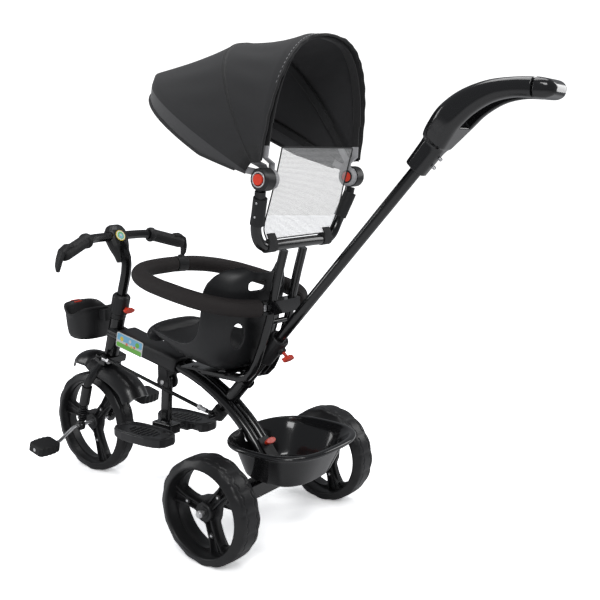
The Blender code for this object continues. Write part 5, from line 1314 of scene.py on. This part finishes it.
def soften(name, grain, rounds):
    source = nodes[name]
    body = next(b for b, held in frame["record"]["behaviour"]["bodies"].items() if name in held)
    slot = next(p["material_slot"] for p in frame["record"]["subparts"] if p["node"] == name)
    look = pad_look if name.startswith("footpad") else source.data.materials[0]
    data = source.data.copy()
    piece = link(f"{name}_moulding", write_back(welded(data), data))
    melt(piece, grain, rounds)
    finish_piece(piece, look, body, slot, name, smooth=60.0)
    return len(piece.data.polygons)


for name, (grain, rounds) in SOFTENED.items():
    print(name, soften(name, grain, rounds), "faces")

# %% [markdown]
# Each bow runs in a dark sleeve that is sewn to the cloth, and its two ends near the hubs are bare grey arms.
# The arms are a skin a hair outside the construction's own strap, cut off a little above the hubs.
# %% Bow sleeves
BOWS = {"rear_bow": (*REAR_BOW, "frame"), "mid_bow": (*MID_BOW, "mid_bow"),
        "front_bow": (*FRONT_BOW, "front_bow")}
BOW_HALF = {"rear_bow": 0.1435, "mid_bow": 0.1475, "front_bow": 0.1515}
SLEEVE_MARGIN = 0.30
SLEEVE_STEPS = 90
ARM_REACH = 0.058
ARM_SKIN = 0.0003


def bow_point(half, height, lean, power, turn):
    r = height * abs(math.sin(turn)) ** (2 / power)
    return Vector((half * squared(math.cos(turn), 2 / power), HUB.y + r * math.sin(lean),
                   HUB.z + r * math.cos(lean)))


def arm_mesh(node):
    data = node.data.copy()
    data.transform(node.matrix_world)
    work = welded(data)
    bmesh.ops.recalc_face_normals(work, faces=work.faces)
    work.normal_update()
    for vertex in work.verts:
        vertex.co += vertex.normal * ARM_SKIN
    lean = FRONT_BOW[1] if node.name == "front_bow" else 0.0
    way = Vector((0, math.sin(lean), math.cos(lean)))
    bmesh.ops.bisect_plane(work, geom=work.verts[:] + work.edges[:] + work.faces[:], dist=1e-6,
                           plane_co=HUB + way * ARM_REACH, plane_no=way, clear_outer=True)
    bmesh.ops.holes_fill(work, edges=[edge for edge in work.edges if edge.is_boundary])
    return write_back(work, data)


for name, (height, lean, power, body) in BOWS.items():
    sweep_turn = math.pi - 2 * SLEEVE_MARGIN
    turns = [SLEEVE_MARGIN + sweep_turn * i / SLEEVE_STEPS for i in range(SLEEVE_STEPS + 1)]
    path = [bow_point(BOW_HALF[name], height, lean, power, turn) for turn in turns]
    across = Vector((0, -math.cos(lean), math.sin(lean)))
    sleeve = sweep("sleeve", path, rounded_box(0.0165, 0.0050, 0.0022), up=across)
    nodes[name].data.materials[0] = binding
    add_piece(f"{name}_sleeve", sleeve, binding, body, "black_plastic", smooth=60.0)
    add_piece(f"{name}_arms", arm_mesh(nodes[name]), arm_grey, body, "grey_strap")
    print(name, "sleeve", round(path_length(path), 3), "m")

# %% [markdown]
# Sewn details follow the canopy: piping along the seam and the rear edge, a rolled front edge,
# and a row of pale stitches. Each rides on the bow that it is sewn to.
# %% Canopy trim
STITCH_STEPS = 360
STITCH_EVERY = 6


def edge_line(height, lean, power, drop, margin, steps=140):
    """Points on the cloth along a line of constant lean, from hem to hem."""
    return [arch_point(height, lean, power, drop, margin + (math.pi - 2 * margin) * i / steps)
            for i in range(steps + 1)]


def make_trim():
    seam = sweep("seam", edge_line(*MID_BOW, 0.0, 0.07), round_section(0.0013, 10), up=(0, 1, 0))
    add_piece("canopy_seam", seam, binding, "mid_bow", "black_plastic")
    hem = edge_line(REAR_BOW[0], REAR_EDGE_LEAN, ARCH_POWER, 0.0, 0.07)
    hem = [point + Vector((0, 0.0006 * math.sin(i * 0.9), 0.0005 * math.sin(i * 0.57)))
           for i, point in enumerate(hem)]
    piping = sweep("piping", hem, round_section(0.0024, 12), up=(0, 1, 0))
    add_piece("canopy_piping", piping, binding, "frame", "black_plastic")
    roll = edge_line(FRONT_BOW[0] - 0.001, BRIM_LEAN, FRONT_POWER, BRIM_DROP, 0.12)
    size = [0.55 + 0.45 * math.sin(math.pi * i / (len(roll) - 1)) for i in range(len(roll))]
    front = sweep("roll", roll, round_section(0.0048, 16), scale=size)
    add_piece("canopy_front_roll", front, cloth, "front_bow", "black_plastic")
    lean = REAR_EDGE_LEAN - math.radians(1.7)
    line = edge_line(REAR_BOW[0] + 0.0010, lean, ARCH_POWER, 0.0, 0.10, STITCH_STEPS)
    stitches = [sweep("stitch", [line[i], line[i + 3]], round_section(0.00045, 6), up=(0, 1, 0))
                for i in range(0, STITCH_STEPS - STITCH_EVERY, STITCH_EVERY)]
    add_piece("canopy_stitches", stitches, grey, "frame", "grey_strap")
    return len(stitches)


print("stitches:", make_trim())

# %% [markdown]
# Round the hubs: a bright ring about each button, padded sleeves on the hoop's legs,
# and the webbing tabs that hold the net's lower corners.
# %% Hub rings and tabs
HOOP_LINE = [(0.1435, 0.0843, 0.6992), (0.1395, 0.0780, 0.6700), (0.1315, 0.0640, 0.6320),
             (0.1175, 0.0600, 0.6065), (0.0950, 0.0596, 0.5967), (0.0450, 0.0596, 0.5967)]
HOOP_LEG = [(0.1435, 0.0843, 0.6880), (0.1405, 0.0795, 0.6740), (0.1370, 0.0745, 0.6600),
            (0.1330, 0.0670, 0.6400)]
TAB_PLACE = (0.088, 0.0596, 0.5967)
FLAP_LINE = ((0.0105, -0.002), (0.0090, 0.012), (0.0030, 0.024))
RING_X = 0.1562


def ring_of(radius, thick):
    path = [Vector((0, radius * c, radius * s)) for c, s in around(64)]
    return sweep("ring", path, rounded_box(thick, thick, thick * 0.3, 3), up=(1, 0, 0), closed=True)


def make_hoop():
    line = HOOP_LINE + [(-x, y, z) for x, y, z in reversed(HOOP_LINE)]
    path = curve_through([Vector(p) + SHIFT for p in line])
    hoop = sweep("canopy_hoop", path, round_section(0.0100, 32), up=(0, 1, 0))
    add_piece("canopy_hoop", hoop, paint, "frame", "black_paint", "canopy_frame", smooth=60.0)
    return path_length(path)


def make_hub_trim():
    rings, sleeves, studs, tabs = [], [], [], []
    for sign in (1, -1):
        place = Vector((sign * RING_X, HUB.y, HUB.z))
        rings.append(moved(ring_of(0.0128, 0.0026), Matrix.Translation(place)))
        leg = curve_through([Vector((sign * x, y, z)) + SHIFT for x, y, z in HOOP_LEG], 6)
        sleeves.append(sweep("sleeve", leg, round_section(0.0128, 32), up=(0, 1, 0)))
        for index in (4, len(leg) - 5):
            place = Matrix.Translation(leg[index] + Vector((sign * 0.0122, 0.003, 0)))
            studs.append(moved(rod_mesh(0.0021, 0, 0.0014, 16), place @ sideways(sign)))
        low = Vector((sign * TAB_PLACE[0], *TAB_PLACE[1:])) + SHIFT
        band = [low + Vector((sign * x, 0, 0)) for x in (-0.013, -0.004, 0.004, 0.013)]
        tabs.append(sweep("tab", band, round_section(0.0118, 32)))
        flap = curve_through([low + Vector((0, dy, dz)) for dy, dz in FLAP_LINE], 5)
        tabs.append(sweep("flap", flap, rounded_box(0.024, 0.0022, 0.0009), up=(1, 0, 0)))
    for name, shapes, look, slot in (("hub_rings", rings, steel, "bright_steel"),
                                     ("hoop_sleeves", sleeves, soft_black, "soft_plastic"),
                                     ("hoop_studs", studs, steel, "bright_steel"),
                                     ("net_tabs", tabs, binding, "soft_plastic")):
        piece = add_piece(name, shapes, look, "frame", slot, smooth=50.0)
        print(name, len(piece.data.polygons), "faces")


print("hoop", round(make_hoop(), 3), "m long")
make_hub_trim()

# %% [markdown]
# Bright hardware: nuts on the rear axle, clevises on the steering rod and the footrest's pivot screw.
# Each nut is a six-sided rod with a small round end.
# %% Hardware
AXLE = Vector((0, 0, 0.105)) + SHIFT
PIVOT = Vector((0, -0.2421, 0.262))
ROD_REAR = Vector((0.0360, -0.07875, 0.22716))
ROD_FRONT = Vector((0.0360, -0.4267, 0.2975))
HEX = 6


def rod_between(start, stop, radius, steps=24):
    return sweep("rod", [start, start.lerp(stop, 0.5), stop], round_section(radius, steps), up=(1, 0, 0))


def make_hardware():
    nuts, screws = [], []
    for sign in (1, -1):
        place = Matrix.Translation(AXLE) @ sideways(sign)
        nuts.append(moved(rod_mesh(0.0078, 0.2205, 0.2255, HEX, 0.0008), place))
        nuts.append(moved(rod_mesh(0.0052, 0.2255, 0.2290, 24, 0.0016), place))
        screw = rod_mesh(0.0052, 0.0160, 0.0182, 28, 0.0009)
        screws.append(moved(screw, Matrix.Translation(PIVOT) @ sideways(sign)))
    way = (ROD_FRONT - ROD_REAR).normalized()
    ends = [rod_between(ROD_REAR + way * 0.012, ROD_REAR + way * 0.030, 0.0050),
            rod_between(ROD_REAR + way * 0.030, ROD_REAR + way * 0.036, 0.0064, HEX),
            rod_between(ROD_FRONT - way * 0.012, ROD_FRONT - way * 0.028, 0.0050),
            rod_between(ROD_FRONT - way * 0.028, ROD_FRONT - way * 0.034, 0.0064, HEX)]
    add_piece("axle_nuts", nuts, steel, "frame", "bright_steel", smooth=35.0)
    add_piece("rod_clevises", ends, steel, "steering_rod", "bright_steel", smooth=35.0)
    add_piece("footrest_screws", screws, steel, "frame", "bright_steel")
    return len(nuts) + len(ends) + len(screws)


print("bright shapes:", make_hardware())

# %% [markdown]
# Each foot pad has a raised rim and low ribs across it, so that a shoe doesn't slip.
# The rim is an oval with squared-off corners, and the middle ribs reach a little further than the end ones.
# %% Foot pad rims
PAD_MIDDLE = (0.0668, -0.2501, 0.1620)
PAD_HALF = (0.0335, 0.0765)
PAD_RIBS = 7
RIB_GAP = 0.0125
RIB_BASE = 0.1616


def pad_rim(sign):
    rim = [Vector((sign * PAD_MIDDLE[0] + PAD_HALF[0] * squared(c, 0.62),
                   PAD_MIDDLE[1] + PAD_HALF[1] * squared(s, 0.75), PAD_MIDDLE[2])) for c, s in around(96)]
    shapes = [sweep("rim", rim, rounded_box(0.0044, 0.0030, 0.0012, 4), closed=True)]
    for k in range(PAD_RIBS):
        step = k - (PAD_RIBS - 1) / 2
        reach = 0.0205 - 0.0012 * abs(step) ** 2
        line = [Vector((sign * PAD_MIDDLE[0] + reach * share, PAD_MIDDLE[1] + RIB_GAP * step, RIB_BASE))
                for share in (-1, 0, 1)]
        shapes.append(sweep("rib", line, rounded_box(0.0024, 0.0026, 0.0009, 3)))
    return shapes


for side, sign in (("left", 1), ("right", -1)):
    rim = add_piece(f"footpad_{side}_rim", pad_rim(sign), pad_look, f"footpad_{side}", "black_plastic")
    print(rim.name, len(rim.data.polygons), "faces")

# %% [markdown]
# Two stickers are plain inventions: bands of colour with dots on the frame cover, a ringed disc on the bars.
# The real ones carry printed pictures. Coloured shapes of the same sizes give the same small bright spots.
# Each shape is a thin prism a little higher than the one below it, so that none shines through another.
# %% Sticker shapes
STICKER_COLOURS = {"white": (0.80, 0.82, 0.80), "sky": (0.25, 0.60, 0.86), "leaf": (0.22, 0.62, 0.10),
                   "sun": (0.95, 0.72, 0.08), "coral": (0.90, 0.25, 0.12)}
STICKER_FOOT = -0.001
# A plate is colour, width, height, place across, place up, thickness and corner.
PLATES = [("white", 0.086, 0.035, 0, 0, 0.0003, 0.0040), ("sky", 0.081, 0.0155, 0, 0.0080, 0.0005, 0.0030),
          ("leaf", 0.081, 0.0105, 0, -0.0105, 0.0005, 0.0030)]
# A disc is colour, radius, place across, place up and thickness.
DOTS = [("leaf", 0.0062, 0.0260, 0.0060, 0.0007), ("sun", 0.0052, -0.0250, 0.0050, 0.0007),
        ("coral", 0.0034, -0.0080, -0.0030, 0.0007), ("sun", 0.0030, 0.0080, -0.0040, 0.0007),
        ("coral", 0.0028, 0.0170, -0.0020, 0.0007), ("white", 0.0040, 0.0020, 0.0070, 0.0007)]
BADGE = [("sun", 0.0125, 0, 0, 0.0004), ("white", 0.0110, 0, 0, 0.0006), ("leaf", 0.0085, 0, 0, 0.0008),
         ("sky", 0.0060, 0, 0.0010, 0.0010), ("white", 0.0028, 0, 0, 0.0012)]


def sticker_prism(outline, u, v, thick):
    return prism("shape", [(u + a, v + b) for a, b in outline], (STICKER_FOOT, thick), smooth=40.0)


def plate_shapes(plates, colour):
    return [sticker_prism(rounded_box(width, height, corner), u, v, thick)
            for own, width, height, u, v, thick, corner in plates if own == colour]


def disc_shapes(discs, colour):
    return [sticker_prism(round_section(radius, 32), u, v, thick)
            for own, radius, u, v, thick in discs if own == colour]


print("sticker shapes:", len(PLATES) + len(DOTS) + len(BADGE))

# %% [markdown]
# A sticker lies flat on what it is stuck to. The cover of the frame is flat enough for a fixed place.
# The cover of the bars is rounded, so a ray finds the spot and the slope there.
# %% Stickers
def frame_place():
    """On the near side of the frame cover, facing the near side and leaning with the tube."""
    turn = Matrix(((0, 0, 1, 0), (1, 0, 0, 0), (0, 1, 0, 0), (0, 0, 0, 1)))
    slope = Matrix.Rotation(math.radians(-11.5), 4, "X")
    return Matrix.Translation(Vector((0.0299, -0.3310, 0.3385))) @ slope @ turn


def badge_place():
    """Where a line from the seat meets the cover of the bars, facing back along the cover's normal."""
    bpy.context.view_layer.update()
    cover = bpy.data.objects["handlebar_cover_moulding"]
    way = Vector((0, -0.90, -0.30)).normalized()
    found, spot, normal, _ = cover.ray_cast(Vector((0.004, -0.20, 0.640)), way)
    print("badge lies on the bars' cover:", found, [round(v, 3) for v in spot])
    return Matrix.Translation(spot) @ Vector((0, 0, 1)).rotation_difference(normal).to_matrix().to_4x4()


def make_stickers():
    looks = {name: grained(f"sticker_{name}", tone, 0.35, 900.0, 0.12, 0.1, 0.02)
             for name, tone in STICKER_COLOURS.items()}
    made = []
    for title, plates, discs, place, body in (("frame_sticker", PLATES, DOTS, frame_place(), "frame"),
                                              ("bar_badge", [], BADGE, badge_place(), "steering")):
        for name, look in looks.items():
            shapes = [moved(shape, place) for shape in plate_shapes(plates, name) + disc_shapes(discs, name)]
            if shapes:
                made.append(add_piece(f"{title}_{name}", shapes, look, body, "satin_plastic"))
    return len(made)


print("sticker pieces:", make_stickers())
